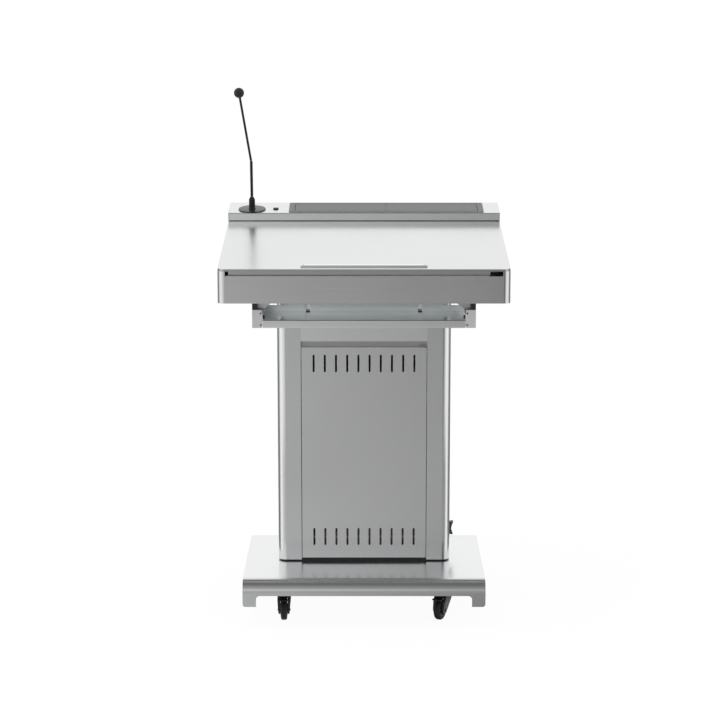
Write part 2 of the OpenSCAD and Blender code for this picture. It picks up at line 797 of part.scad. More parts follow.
// hollow-faced rocker with a raised end above and below, as (out of the column, height)
module power_rocker() color(dark_steel) translate([rocker_axis_x, switch_y, switch_z])
    along(-cavity_half + rocker_gap, cavity_half - rocker_gap) difference() {
        polygon([
            [-3, 2 - rocker_half], [3, -rocker_half], [10, -rocker_half - 1], [11, 1 - rocker_half],
            [6, -4], [7, 4], [11, rocker_half - 2], [12.4, rocker_half + 1.4],
            [8, rocker_half + 1.4], [3, rocker_half], [-3, rocker_half - 2]
        ]);
        circle(rocker_pin_r + running);
    }

// ---------- desk ----------

slot_half = desk_w / 2 - post_w;
fascia_top = desk_bottom + fascia_h;

// fascia and side walls in one bent sheet, cut along the slope, with the open slot under the lid
module desk_wrap() color(steel) difference() {
    translate([0, 0, desk_bottom]) linear_extrude(desk_d) difference() {
        round_low([-desk_w / 2, front_y], [desk_w / 2, rear_y], desk_corner_r);
        round_low([-desk_w / 2 + desk_sheet, front_y + desk_sheet], [desk_w / 2 - desk_sheet, rear_y + cut],
            desk_corner_r - desk_sheet);
    }
    above_slope(-lid_edge);
    box([-slot_half, front_y - cut, fascia_top], [slot_half, front_y + 2 * desk_corner_r, lid_front_z + cut]);
}

floor_t = 2;
floor_cut_r = 10;

module desk_floor() color(steel) translate([0, 0, desk_bottom]) linear_extrude(floor_t) difference() {
    round_low([-desk_w / 2 + desk_sheet, front_y + desk_sheet],
        [desk_w / 2 - desk_sheet, rear_y - desk_sheet], desk_corner_r - desk_sheet);
    translate([0, column_front + column_d / 2]) round_area(-floor_cut / 2, floor_cut / 2, floor_cut_r);
}

module desk_rear_panel() color(steel) difference() {
    box([-desk_w / 2 + desk_sheet, rear_y - desk_sheet, desk_bottom],
        [desk_w / 2 - desk_sheet, rear_y, desk_bottom + desk_d]);
    above_slope(-lid_edge);
}

// ---------- lid ----------

lid_edge_r = 2.5;
lid_rim = 5;
lid_rear_rim = 2;
flange_left_gap = 9;
flange_drop = 1;
flange_left = -slot_half + flange_left_gap;
flange_right = slot_half - notch_w;
flange_bottom_n = (fascia_top - lid_front_z - flange_setback * sin(slope)) / cos(slope) - flange_drop;

// shallow pan, open below, with a flange that hangs in the slot and leaves a finger notch at its right end
module lid() color(steel) on_slope() {
    difference() {
        intersection() {
            translate([0, 0, -lid_edge]) linear_extrude(lid_edge)
                round_low([-lid_w / 2, 0], [lid_w / 2, lid_l], desk_corner_r - lid_inset);
            across(lid_w + cut) {
                area([lid_edge_r, -lid_edge], [lid_l, 0]);
                area([0, -lid_edge], [lid_l, -lid_edge_r]);
                translate([lid_edge_r, -lid_edge_r]) circle(lid_edge_r);
            }
        }
        translate([0, 0, -lid_edge - cut]) linear_extrude(lid_edge - lid_sheet + cut)
            round_low([-lid_w / 2 + lid_rim, lid_rim], [lid_w / 2 - lid_rim, lid_l - lid_rear_rim],
                desk_corner_r - lid_rim);
    }
    box([flange_left, flange_setback, flange_bottom_n],
        [flange_right, flange_setback + lid_sheet, -lid_sheet + eps]);
}

stiffener_w = 30;
stiffener_h = 12;
stiffener_t = 1.5;
stiffener_side = 133;
stiffener_front = 21;
stiffener_rear = 8;
stiffener_space = 7;
stiffener_x = lid_w / 2 - stiffener_side;
cross_rear = lid_l - stiffener_rear;
cross_front = cross_rear - stiffener_w;

// three channels up the slope and one along the hinge, under the lid's skin
module lid_stiffeners() color(zinc) on_slope() {
    for (x = [-stiffener_x, 0, stiffener_x])
        channel([x - stiffener_w / 2, flange_setback + stiffener_front, -lid_sheet - stiffener_h],
            [x + stiffener_w / 2, cross_front - stiffener_space, -lid_sheet]);
    channel([-hinge_l / 2, cross_front, -lid_sheet - stiffener_h], [hinge_l / 2, cross_rear, -lid_sheet]);
}

// box from corner a to corner b that is hollow and open at the top
module channel(a, b) difference() {
    box(a, b);
    box(a + [stiffener_t, stiffener_t, stiffener_t], b + [-stiffener_t, -stiffener_t, cut]);
}

knuckle_l = hinge_l / knuckles;
leaf_h = 9;

function knuckle_x(i) = -hinge_l / 2 + i * knuckle_l;

// one side of the piano hinge: every second knuckle, starting with the first given
module hinge_knuckles(first) for (i = [first : 2 : knuckles - 1])
    rod_x(knuckle_r, knuckle_x(i) + knuckle_gap / 2, knuckle_x(i + 1) - knuckle_gap / 2, hinge_s, hinge_n);

// the tabs that join those knuckles to their leaf, between s0 and s1
module hinge_tabs(first, s0, s1) for (i = [first : 2 : knuckles - 1])
    box([knuckle_x(i) + knuckle_gap / 2, s0, hinge_n - knuckle_r],
        [knuckle_x(i + 1) - knuckle_gap / 2, s1, hinge_n]);

module lid_hinge_moving() color(dark_steel) on_slope() difference() {
    union() {
        box([-hinge_l / 2, lid_l, hinge_n - leaf_h], [hinge_l / 2, lid_l + leaf_t, hinge_n]);
        hinge_knuckles(1);
        hinge_tabs(1, lid_l + leaf_t - eps, hinge_s);
    }
    rod_x(hinge_pin_r + running, -hinge_l, hinge_l, hinge_s, hinge_n);
}

module lid_hinge_fixed() color(dark_steel) on_slope() {
    box([-hinge_l / 2, console_s - leaf_t, hinge_n - leaf_h], [hinge_l / 2, console_s, hinge_n]);
    hinge_knuckles(0);
    hinge_tabs(0, hinge_s, console_s - leaf_t + eps);
    rod_x(hinge_pin_r, -hinge_l / 2 + eps, hinge_l / 2 - eps, hinge_s, hinge_n);
}

stop_flat = 1;              // half the straight stretch at each end of the paper stop

module paper_stop() color(steel) on_slope() linear_extrude(stop_h)
    round_area([-stop_l / 2, stop_inset], [stop_l / 2, stop_inset + stop_d], stop_d / 2 - stop_flat);

// ---------- console ----------

console_skirt = 16;
console_round = 4;

// outline of the console in the slope's frame, as (up the slope, out of it), with a plumb rear face
module console_outline(inset, skirt) difference() {
    round_high([console_s + inset, -skirt],
        [console_rear_s + desk_sheet + cut, console_rise - inset], console_r);
    rotate(-slope) translate([desk_d - inset, -desk_d]) square(2 * desk_d);
}

console_skirt_half = lid_w / 2 - lid_rim;
mic_stud_r = 5.6;
mic_stud_l = 20;
mic_stud_gap = 0.4;
switch_inset = 139.5;
switch_front = 48;
console_switch_x = console_w / 2 - switch_inset;
console_switch_s = console_s + switch_front;
rocker_w = 11;
rocker_l = 17;
rocker_wall = 1;
collar_t = 2;
collar_h = 8;
ledge_d = 4;
ledge_t = 1.5;
flap_seat_gap = 0.2;

// folded box across the rear of the desk, on its side walls, with holes for what stands in its top
module console_cover() color(steel) on_slope() difference() {
    round_n = console_round - lid_edge;
    union() {
        across(console_w) difference() {
            console_outline(0, lid_edge);
            difference() {
                area([console_s - cut, -lid_edge - cut], [console_s + console_round, round_n]);
                translate([console_s + console_round, round_n]) circle(console_round);
            }
        }
        box([-console_skirt_half, console_s, -console_skirt],
            [console_skirt_half, console_s + console_sheet, round_n + console_sheet]);
    }
    across(console_w - 2 * (console_overhang + desk_sheet)) difference() {
        console_outline(console_sheet, lid_edge + cut);
        area([console_s, -lid_edge - 2 * cut], [console_s + console_sheet, console_rise]);
    }
    linear_extrude(2 * console_rise) {
        translate([hatch_x, hatch_s]) collar_area(working_gap);
        translate([-mic_x, mic_s]) circle(mic_stud_r + mic_stud_gap);
        translate([-console_switch_x, console_switch_s]) rocker_area(rocker_wall + fit_gap);
    }
}

// the hatch opening grown on every side, for the frame's collar and the cut that it fills
module collar_area(grow) square(flap_open + 2 * (collar_t + grow) * [1, 1], center = true);

// the rocker's cavity grown on every side, for its housing and the cut that it fills
module rocker_area(grow) square([rocker_w, rocker_l] + 2 * grow * [1, 1], center = true);

// rim on the console's top round the flaps, with a ledge under their front edges
module hatch_frame() color(dark_steel) on_slope() translate([hatch_x, hatch_s, 0]) difference() {
    seat_n = flap_top_n - flap_t - flap_seat_gap;
    union() {
        translate([0, 0, console_rise]) linear_extrude(hatch_t)
            round_area([-hatch_w, -hatch_l] / 2, [hatch_w, hatch_l] / 2, hatch_r);
        translate([0, 0, console_rise - collar_h]) linear_extrude(collar_h + eps) collar_area(0);
    }
    translate([0, 0, seat_n]) linear_extrude(cut) square(flap_open, center = true);
    translate([0, 0, seat_n - ledge_t - cut]) linear_extrude(cut) square(flap_open, center = true);
    translate([0, 0, console_rise - cut]) linear_extrude(2 * cut)
        area([-flap_open[0] / 2, -flap_open[1] / 2 + ledge_d], flap_open / 2);
    rod_x(flap_rod_r, -hatch_w, hatch_w, flap_axis_s - hatch_s, flap_axis_n);
}

module flap_hinge_rod() color(zinc) on_slope()
    rod_x(flap_rod_r, hatch_x - flap_open[0] / 2 - collar_t + fit_gap,
        hatch_x + flap_open[0] / 2 + collar_t - fit_gap, flap_axis_s, flap_axis_n);

flap_tube_end = 4;
flap_corner_r = 6;

// one flap of the hatch, from x0 to x1, on a tube along its rear that stays below its face
module flap(x0, x1) color(dark_steel) on_slope() difference() {
    union() {
        translate([0, 0, flap_top_n - flap_t]) linear_extrude(flap_t)
            round_area([x0, hatch_s - flap_open[1] / 2 + flap_gap],
                [x1, flap_axis_s + flap_tail], flap_corner_r);
        rod_x(flap_rod_r + knuckle_wall, x0 + flap_tube_end, x1 - flap_tube_end, flap_axis_s, flap_axis_n);
    }
    rod_x(flap_rod_r + running, x0 - cut, x1 + cut, flap_axis_s, flap_axis_n);
}

module flap_left() flap(hatch_x - flap_open[0] / 2 + flap_gap, hatch_x - seam / 2);

module flap_right() flap(hatch_x + seam / 2, hatch_x + flap_open[0] / 2 - flap_gap);

tray_wall = 1.5;
tray_gap = 1;
tray_flange = 10;

// tray that hangs under the console top and holds the sockets
module socket_tray() color(zinc) on_slope() translate([hatch_x, hatch_s, console_rise - console_sheet])
    difference() {
        union() {
            translate([0, 0, -socket_depth]) linear_extrude(socket_depth) collar_area(tray_gap + tray_wall);
            translate([0, 0, -tray_wall]) linear_extrude(tray_wall)
                square(flap_open + 2 * tray_flange * [1, 1], center = true);
        }
        translate([0, 0, -socket_depth + tray_wall]) linear_extrude(socket_depth) collar_area(tray_gap);
    }

socket_floor_n = console_rise - console_sheet - socket_depth + tray_wall;
socket_size = [46, 46];
socket_h = 12;
socket_inset = 72;
socket_pitch = 60;
socket_x = [for (i = [0 : 2]) socket_inset - flap_open[0] / 2 + i * socket_pitch];
socket_corner_r = 4;
socket_well_r = 19;
socket_floor_t = 2;
pin_hole_x = 9.5;
pin_hole_r = 2.4;
pin_boss_r = 4;
pin_boss_h = 3;
data_plate = [120, 46];
data_plate_h = 6;
data_x = socket_x[2] + 140;
data_ports = [-40, -12, 16];
data_port = [15, 8];
network_port_x = 43;
network_port_w = 13;

// rounded plate of the given size, centred on the middle
module plate_area(size) round_area(-size / 2, size / 2, socket_corner_r);

// three power sockets and a plate of data sockets on the tray's floor
module sockets() color(black) on_slope() translate([hatch_x, hatch_s, socket_floor_n]) {
    for (x = socket_x) translate([x, 0, 0]) {
        difference() {
            linear_extrude(socket_h) plate_area(socket_size);
            translate([0, 0, socket_floor_t]) cylinder(r = socket_well_r, h = socket_h);
        }
        for (side = [-1, 1]) translate([side * pin_hole_x, 0, socket_floor_t - eps]) difference() {
            cylinder(r = pin_boss_r, h = pin_boss_h);
            translate([0, 0, pin_boss_h / 3]) cylinder(r = pin_hole_r, h = pin_boss_h);
        }
    }
    translate([data_x, 0, 0]) difference() {
        linear_extrude(data_plate_h) plate_area(data_plate);
        translate([0, 0, socket_floor_t]) linear_extrude(cut) {
            for (x = data_ports) translate([x, 0]) square(data_port, center = true);
            translate([network_port_x, 0]) square(network_port_w, center = true);
        }
    }
}

small_pin_r = 1;
switch_body_d = 14;
switch_cavity_d = 9;
switch_rim = 2.5;
switch_rim_t = 1.2;
small_rocker_half = rocker_l / 2 - 0.6;

// small switch body in the console top
module rocker_housing() color(black) on_slope()
    translate([-console_switch_x, console_switch_s, console_rise]) {
        rim = [rocker_w, rocker_l] / 2 + switch_rim * [1, 1];
        difference() {
            union() {
                translate([0, 0, -switch_body_d])
                    linear_extrude(switch_body_d + eps) rocker_area(rocker_wall);
                linear_extrude(switch_rim_t) round_area(-rim, rim, switch_rim_t);
            }
            translate([0, 0, -switch_cavity_d]) linear_extrude(cut + switch_cavity_d) rocker_area(0);
        }
        rod_x(small_pin_r, -rocker_w / 2 - eps, rocker_w / 2 + eps, 0, 0);
    }

// small rocker, raised at its front end, as (depth, height)
module console_rocker() color(black) on_slope()
    translate([-console_switch_x, console_switch_s, console_rise])
        across(rocker_w - 2 * rocker_gap) difference() {
            polygon([
                [0.9 - small_rocker_half, -4], [-small_rocker_half, 0.5], [0.3 - small_rocker_half, 3.4],
                [0, 1.7],
                [small_rocker_half - 0.3, 2.2], [small_rocker_half, 0.5], [small_rocker_half - 0.9, -4]
            ]);
            circle(small_pin_r + running);
        }

// ---------- keyboard tray ----------

cap_gap = 1.4;
cap_inner = tray_w / 2 + cap_gap;
cap_t = 3;
cap_drop = 4;
tray_top = tray_bottom + tray_lip;
tray_floor_z = tray_bottom + tray_floor_lift;
cap_bottom = tray_bottom - cap_drop;
cap_top = cap_bottom + cap_h;
slide_lift = 7;
slide_rear = 2;
slide_front = tray_front + cap_t + seam;
slide_back = tray_front + tray_d - slide_rear;
slide_mid_z = cap_bottom + slide_lift + slide_h / 2;
slide_t = 1.2;
slide_gap = 0.6;
outer_depth = 9;
middle_reach = 14;
inner_reach = 6;
hanger_t = 3;
hanger_in = cap_inner + cap_w - hanger_t;

// C section drawn as (across, height) between x0 and x1, with its web at x1 and a height h
module c_section(x0, x1, h, web_low) difference() {
    area([x0, slide_mid_z - h / 2], [x1, slide_mid_z + h / 2]);
    area([x0 + (web_low ? slide_t : -cut), slide_mid_z - h / 2 + slide_t],
        [x1 - (web_low ? -cut : slide_t), slide_mid_z + h / 2 - slide_t]);
}

module both_sides() {
    children();
    mirror([1, 0, 0]) children();
}

module slide_outers() color(zinc) both_sides() along(slide_front, slide_back)
    c_section(hanger_in - outer_depth, hanger_in, slide_h, false);

middle_h = slide_h - 2 * slide_t - 2 * slide_gap;
inner_h = middle_h - 2 * slide_t - 2 * slide_gap;

module slide_middles() color(zinc) both_sides() along(slide_front, slide_back)
    c_section(hanger_in - middle_reach, hanger_in - slide_t - slide_gap, middle_h, false);

module slide_inners() color(zinc) both_sides() along(slide_front, slide_back)
    c_section(tray_w / 2, hanger_in - inner_reach, inner_h, true);

gusset_y = slide_front + 20;
gusset_t = 3;
gusset_slant = 3;
gusset_foot = 6;
gusset_h = 19;
gusset_edge = 7;
gusset_reach = 24;
block_w = 14;
block_gap = 1;
block_in = cap_inner + cap_w - block_w;

// plates under the desk that carry the outer slides, each with a spacer block
module slide_hangers() color(black) both_sides() {
    box([hanger_in, slide_front, slide_mid_z - slide_h / 2], [hanger_in + hanger_t, slide_back, desk_bottom]);
    box([block_in, slide_front, cap_top + block_gap], [hanger_in + eps, slide_back, desk_bottom]);
}

// gusset on the inner face of each spacer block, close behind its front end
module slide_gussets() color(zinc) both_sides() along(gusset_y, gusset_y + gusset_t) polygon([
    [block_in, desk_bottom],
    [tray_w / 2 - gusset_reach, desk_bottom],
    [tray_w / 2 - gusset_reach + gusset_slant, desk_bottom - gusset_edge],
    [tray_w / 2 - gusset_foot, desk_bottom - gusset_h],
    [block_in, desk_bottom - gusset_h]
]);

module tray() color(steel) difference() {
    union() {
        box([-tray_w / 2, tray_front, tray_bottom], [tray_w / 2, tray_front + tray_sheet, tray_top]);
        box([-tray_w / 2, tray_front, tray_floor_z - tray_sheet],
            [tray_w / 2, tray_front + tray_d, tray_floor_z]);
        box([-tray_w / 2, tray_front + tray_d - tray_sheet, tray_floor_z - eps],
            [tray_w / 2, tray_front + tray_d, tray_floor_z + tray_upstand]);
        both_sides() box([tray_w / 2 - tray_sheet, tray_front, tray_bottom],
            [tray_w / 2, tray_front + tray_d, slide_mid_z + inner_h / 2]);
    }
    for (side = [-1, 1]) along(tray_front + tray_d - 3 * tray_sheet, tray_front + tray_d + cut)
        translate([side * cable_notch_x, 0]) {
            translate([0, tray_floor_z + cable_notch_w / 2]) circle(cable_notch_w / 2);
            area([-cable_notch_w / 2, tray_floor_z + cable_notch_w / 2],
                [cable_notch_w / 2, tray_floor_z + 2 * tray_upstand]);
        }
}

cap_notch = [4, 5];
cap_notch_low = 8;
cap_notch_high = 10;

// folded end caps that close the slides' front ends and move with the tray
module tray_end_caps() color(pale_grey) both_sides() difference() {
    union() {
        box([tray_w / 2, tray_front, cap_bottom], [cap_inner + cap_w, tray_front + cap_t, cap_top]);
        box([tray_w / 2, tray_front + cap_t - eps, tray_bottom], [cap_inner, slide_front, slide_mid_z]);
    }
    along(tray_front - cut, tray_front + cut) for (z = [cap_bottom + cap_notch_low, cap_top - cap_notch_high])
        area([cap_inner, z - cap_notch[1] / 2], [cap_inner + cap_notch[0], z + cap_notch[1] / 2]);
}

// ---------- microphone ----------

module at_mic() on_slope() translate([-mic_x, mic_s, console_rise]) children();

joint_h = mic_disc_t + boot_h + boot_taper + working_gap + neck_d / 2;
disc_bevel = 1;
boot_rim = 1;

module mic_base() color(black) at_mic() {
    cylinder(r1 = mic_disc_d / 2, r2 = mic_disc_d / 2 - disc_bevel, h = mic_disc_t);
    translate([0, 0, mic_disc_t - eps]) cylinder(d = boot_d, h = boot_h + eps);
    translate([0, 0, mic_disc_t + boot_h - eps])
        cylinder(d1 = boot_d, d2 = neck_d + 2 * boot_rim, h = boot_taper + eps);
    translate([0, 0, -mic_stud_l]) cylinder(r = mic_stud_r, h = mic_stud_l + eps);
}

module mic_lower_neck() color(black) at_mic() {
    translate([0, 0, joint_h]) sphere(d = neck_d);
    translate([0, 0, joint_h]) cylinder(d = neck_d, h = bend_h - joint_h);
    translate([0, 0, bend_h]) sphere(d = neck_d);
}

module along_upper_neck() at_mic() translate([0, 0, bend_h]) rotate([0, -mic_lean, 0]) children();

capsule_r = 6;
capsule_h = 16;
capsule_foot = upper_neck_l - capsule_h / 2;
upper_neck_foot = neck_d / 2 + working_gap;

module mic_upper_neck() color(black) along_upper_neck() {
    translate([0, 0, upper_neck_foot]) cylinder(d = upper_neck_d, h = capsule_foot - upper_neck_foot);
    translate([0, 0, capsule_foot - eps]) cylinder(r = capsule_r, h = capsule_h);
}

module mic_windscreen() color(black) along_upper_neck() translate([0, 0, upper_neck_l]) difference() {
    sphere(d = windscreen_d);
    translate([0, 0, -windscreen_d]) cylinder(r = capsule_r, h = windscreen_d + capsule_h / 2);
}

base_cover();
base_frame();
caster_plates();
caster_bolts();
at_caster(-1, 0, 0) caster_fork();  // caster_fork_fl
at_caster(1, 0, front_right_turn) caster_fork();  // caster_fork_fr
at_caster(-1, 1, 0) caster_fork();  // caster_fork_rl
at_caster(1, 1, 0) caster_fork();  // caster_fork_rr
at_caster(-1, 0, 0) wheel_hub();  // wheel_hub_fl
at_caster(1, 0, front_right_turn) wheel_hub();  // wheel_hub_fr
at_caster(-1, 1, 0) wheel_hub();  // wheel_hub_rl
at_caster(1, 1, 0) wheel_hub();  // wheel_hub_rr
at_caster(-1, 0, 0) wheel_tyre();  // wheel_tyre_fl
at_caster(1, 0, front_right_turn) wheel_tyre();  // wheel_tyre_fr
at_caster(-1, 1, 0) wheel_tyre();  // wheel_tyre_rl
at_caster(1, 1, 0) wheel_tyre();  // wheel_tyre_rr
at_caster(-1, 0, 0) brake_pedal();  // brake_pedal_fl
at_caster(1, 0, front_right_turn) brake_pedal();  // brake_pedal_fr
plinth();
column_floor();
side_shell_left();
side_shell_right();
rear_panel();
panel_screws();
cable_port();
header_panel();
finger_pull();
equipment_shelves();
door();
door_pins();
door_catch();
switch_housing();
power_rocker();
desk_wrap();
desk_floor();
desk_rear_panel();
lid();
lid_stiffeners();
lid_hinge_moving();
lid_hinge_fixed();
paper_stop();
console_cover();
hatch_frame();
flap_hinge_rod();
flap_left();
flap_right();
socket_tray();
sockets();
rocker_housing();
console_rocker();
slide_hangers();
slide_gussets();
slide_outers();
slide_middles();
slide_inners();
tray();
tray_end_caps();
mic_base();
mic_lower_neck();
mic_upper_neck();
mic_windscreen();
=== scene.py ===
# %% [markdown]
# # A presentation lectern in brushed stainless steel
# This lesson dresses a lectern: a sloping desk with a lifting lid and a gooseneck microphone,
# on a column with a door, on a low base with four casters. The sheet-metal shapes come from
# the construction model. Here they get their finishes, and the small parts that need a closer
# shape (the flexible necks, the foam, the rubber, the screws) are worked out as surfaces.

import bpy
import numpy as np
from mathutils import Matrix, Vector


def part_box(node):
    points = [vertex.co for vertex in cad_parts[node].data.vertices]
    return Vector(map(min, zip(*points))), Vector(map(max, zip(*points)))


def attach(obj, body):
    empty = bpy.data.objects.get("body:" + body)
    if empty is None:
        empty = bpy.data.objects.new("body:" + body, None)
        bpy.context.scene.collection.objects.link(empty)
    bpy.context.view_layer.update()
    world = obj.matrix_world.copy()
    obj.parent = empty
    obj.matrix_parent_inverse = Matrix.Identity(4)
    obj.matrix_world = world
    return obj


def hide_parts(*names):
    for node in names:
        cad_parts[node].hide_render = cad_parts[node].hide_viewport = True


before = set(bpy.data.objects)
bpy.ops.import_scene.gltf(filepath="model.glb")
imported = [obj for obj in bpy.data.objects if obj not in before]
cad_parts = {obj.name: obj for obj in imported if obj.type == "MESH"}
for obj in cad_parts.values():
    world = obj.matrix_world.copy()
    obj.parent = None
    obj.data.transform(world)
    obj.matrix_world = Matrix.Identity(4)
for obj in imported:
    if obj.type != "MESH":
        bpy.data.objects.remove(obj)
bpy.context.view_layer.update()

# %% [markdown]
# ## The camera
# A lectern is usually shown from the audience's height or a little above it, standing well
# back with a long lens, so that the uprights stay nearly parallel. The lens is given by its
# length against a 36 mm sensor. A small sideways shift frames the lectern without turning
# the camera, which keeps its left and right edges equally steep.

# %% Stand the camera
lens_mm, eye_back, eye_height, tilt_down, sideways = 100.7, 5.711, 1.764, 10.21, -0.0091
camera_data = bpy.data.cameras.new("view")
camera_data.sensor_width = 36
camera_data.lens = lens_mm
camera_data.shift_x = sideways
camera = bpy.data.objects.new("view", camera_data)
camera.location = (0, -eye_back, eye_height)
camera.rotation_euler = (np.radians(90 - tilt_down), 0, 0)
bpy.context.collection.objects.link(camera)
bpy.context.scene.camera = camera
bpy.context.scene.view_settings.view_transform = "Standard"
print("lens", camera_data.lens, "mm, height", camera.location.z, "m")

# %% [markdown]
# ## Wiring shader nodes
# Every finish below is a small network of shader nodes. Adding nodes one call at a time makes
# long scripts, so one helper adds a node, sets its options and plugs its sockets. A value that
# is itself a socket becomes a wire, and anything else is written on the socket as a constant.

# %% Helpers for node networks
def node(tree, kind, inputs=None, **options):
    """Adds a shader node and plugs it: sockets become wires, other values become constants."""
    made = tree.nodes.new("ShaderNode" + kind)
    for option, value in options.items():
        setattr(made, option, value)
    for socket, value in (inputs or {}).items():
        if isinstance(value, bpy.types.NodeSocket):
            tree.links.new(value, made.inputs[socket])
        else:
            made.inputs[socket].default_value = value
    return made


def blank(owner):
    """Empties a material's or a world's node tree and hands it back."""
    owner.use_nodes = True
    owner.node_tree.nodes.clear()
    return owner.node_tree


def spread(tree, value, low, high, start=0.0, end=1.0):
    """Carries a value that runs from start to end over to the range low to high, without overshoot."""
    wires = {"Value": value, "From Min": start, "From Max": end, "To Min": low, "To Max": high}
    return node(tree, "MapRange", wires).outputs["Result"]


def noise(tree, place, scale, detail=3.0, rough=0.55):
    """A cloud of soft noise over the object's own coordinates; scale is in waves per metre."""
    size = scale if isinstance(scale, tuple) else (scale,) * 3
    seat = node(tree, "Mapping", {"Vector": place, "Scale": size}).outputs["Vector"]
    wires = {"Vector": seat, "Scale": 1.0, "Detail": detail, "Roughness": rough}
    return node(tree, "TexNoise", wires).outputs["Fac"]


def blend_colours(tree, share, dark, light):
    """A colour between dark and light, by the share from 0 to 1."""
    made = node(tree, "Mix", {"Factor": share}, data_type="RGBA")
    made.inputs["A"].default_value = (*dark, 1)
    made.inputs["B"].default_value = (*light, 1)
    return made.outputs["Result"]


def mix_values(tree, share, first, second):
    """The value that is first at share 0 and second at share 1."""
    made = node(tree, "Mix", {"Factor": share, "A": first, "B": second}, data_type="FLOAT")
    return made.outputs["Result"]


def soft_step(tree, value, start, end):
    """0 before start, 1 past end, and an S curve between them."""
    wires = {"Value": value, "From Min": start, "From Max": end, "To Min": 0.0, "To Max": 1.0}
    return node(tree, "MapRange", wires, interpolation_type="SMOOTHSTEP").outputs["Result"]


print("node helpers ready")

# %% [markdown]
# ## The floor
# The lectern stands on a pale seamless floor. What the camera sees of it is mostly plain
# white, with a share of real shading mixed in, so that the lectern keeps a soft shadow under
# its base. Towards the rim that share fades out, and the floor melts into the white around it.

# %% Pour the floor
floor_reach, floor_rings, floor_spokes = 2.4, 24, 96


def disc(radius, rings, spokes):
    """A flat disc: point (r, a) lies at (r cos a, r sin a, 0), r from 0 to the radius."""
    r = np.linspace(0, radius, rings)[1:, None]
    a = np.linspace(0, 2 * np.pi, spokes, endpoint=False)[None, :]
    flat = np.stack([r * np.cos(a), r * np.sin(a), np.zeros((rings - 1, spokes))], -1)
    points = np.vstack([np.zeros((1, 3)), flat.reshape(-1, 3)])
    j = np.arange(spokes)
    k = (j + 1) % spokes
    middle = np.stack([np.zeros(spokes, int), 1 + j, 1 + k], -1).tolist()
    i = np.arange(rings - 2)[:, None] * spokes + 1
    quads = np.stack([i + j, i + spokes + j, i + spokes + k, i + k], -1)
    return points, middle + quads.reshape(-1, 4).tolist()


floor_mesh = bpy.data.meshes.new("floor")
floor_points, floor_faces = disc(floor_reach, floor_rings, floor_spokes)
floor_mesh.from_pydata(floor_points.tolist(), [], floor_faces)
floor = bpy.data.objects.new("floor", floor_mesh)
bpy.context.collection.objects.link(floor)
print("floor faces:", len(floor_faces))

# %% [markdown]
# ## What the steel sees low down
# Steel has hardly any colour of its own: it shows the room. Low down the room is darkest
# behind the lectern, pale at both sides, and falls from grey to dark grey from left to right
# in front, as with a black flag beside the camera. The world and the floor both use this one
# recipe, so their tones meet at the floor's rim.

# %% Tones of the room near the floor
FRONT_LOW, SIDES_LOW, BEHIND_LOW = 0.45, 1.05, 0.22


def low_tone(tree, towards, lean=1.0):
    """Grey by the compass direction alone; lean stretches its fall from left to right."""
    level = node(tree, "VectorMath", {0: towards, 1: (1, 1, 0)}, operation="MULTIPLY").outputs["Vector"]
    flat = node(tree, "VectorMath", {0: level}, operation="NORMALIZE").outputs["Vector"]
    part = node(tree, "SeparateXYZ", {0: flat}).outputs
    front = soft_step(tree, part["Y"], -0.88, -0.98)
    behind = soft_step(tree, part["Y"], -0.15, 0.20)
    across = node(tree, "Math", {0: part["X"], 1: lean}, operation="MULTIPLY").outputs[0]
    tone = mix_values(tree, front, SIDES_LOW, flagged(tree, across, FRONT_LOW))
    return mix_values(tree, behind, tone, BEHIND_LOW)


def flagged(tree, across, tone):
    """A tone of the front wall that falls from left to right, by the direction's sideways share."""
    share = spread(tree, across, 1.8, 0.2, -0.24, 0.24)
    return node(tree, "Math", {0: share, 1: tone}, operation="MULTIPLY").outputs[0]


print("low tones: front", FRONT_LOW, "sides", SIDES_LOW, "behind", BEHIND_LOW)

# %% Paint the floor
seen_white, seen_shade, fade_from, fade_to = 0.955, 0.07, 0.5, floor_reach * 0.7
floor_paint = bpy.data.materials.new("pale_floor")
tree = blank(floor_paint)
ray = node(tree, "LightPath").outputs
floor_place = node(tree, "TexCoord").outputs["Object"]
away = node(tree, "VectorMath", {0: floor_place}, operation="LENGTH").outputs["Value"]
whiteness = spread(tree, away, seen_white, 1.0, fade_from, fade_to)
shading = spread(tree, away, seen_shade, 0.0, fade_from, fade_to)
grain = noise(tree, floor_place, 60.0)
pale = blend_colours(tree, grain, (0.80, 0.80, 0.80), (0.84, 0.84, 0.84))
glow = node(tree, "Emission", {"Color": (1, 1, 1, 1), "Strength": whiteness})
matt = node(tree, "BsdfDiffuse", {"Color": pale})
dim = node(tree, "VectorMath", {0: pale, "Scale": shading}, operation="SCALE").outputs["Vector"]
dimmed = node(tree, "BsdfDiffuse", {"Color": dim})
to_eye = node(tree, "AddShader", {0: glow.outputs[0], 1: dimmed.outputs[0]})
narrow = node(tree, "VectorMath", {0: floor_place, 1: (0.25, 1, 1)}, operation="MULTIPLY")
narrowed = narrow.outputs["Vector"]
to_steel = node(tree, "Emission", {"Color": (1, 1, 1, 1), "Strength": low_tone(tree, narrowed, 0.5)})
seen = node(tree, "Math", {0: ray["Is Camera Ray"], 1: ray["Is Transmission Ray"]}, operation="MAXIMUM")
other = node(tree, "MixShader", {0: ray["Is Glossy Ray"], 1: matt.outputs[0], 2: to_steel.outputs[0]})
surface = node(tree, "MixShader", {0: seen.outputs[0], 1: other.outputs[0], 2: to_eye.outputs[0]})
node(tree, "OutputMaterial", {"Surface": surface.outputs[0]})
floor_mesh.materials.append(floor_paint)
print("floor seen as white out to", floor_reach, "m")

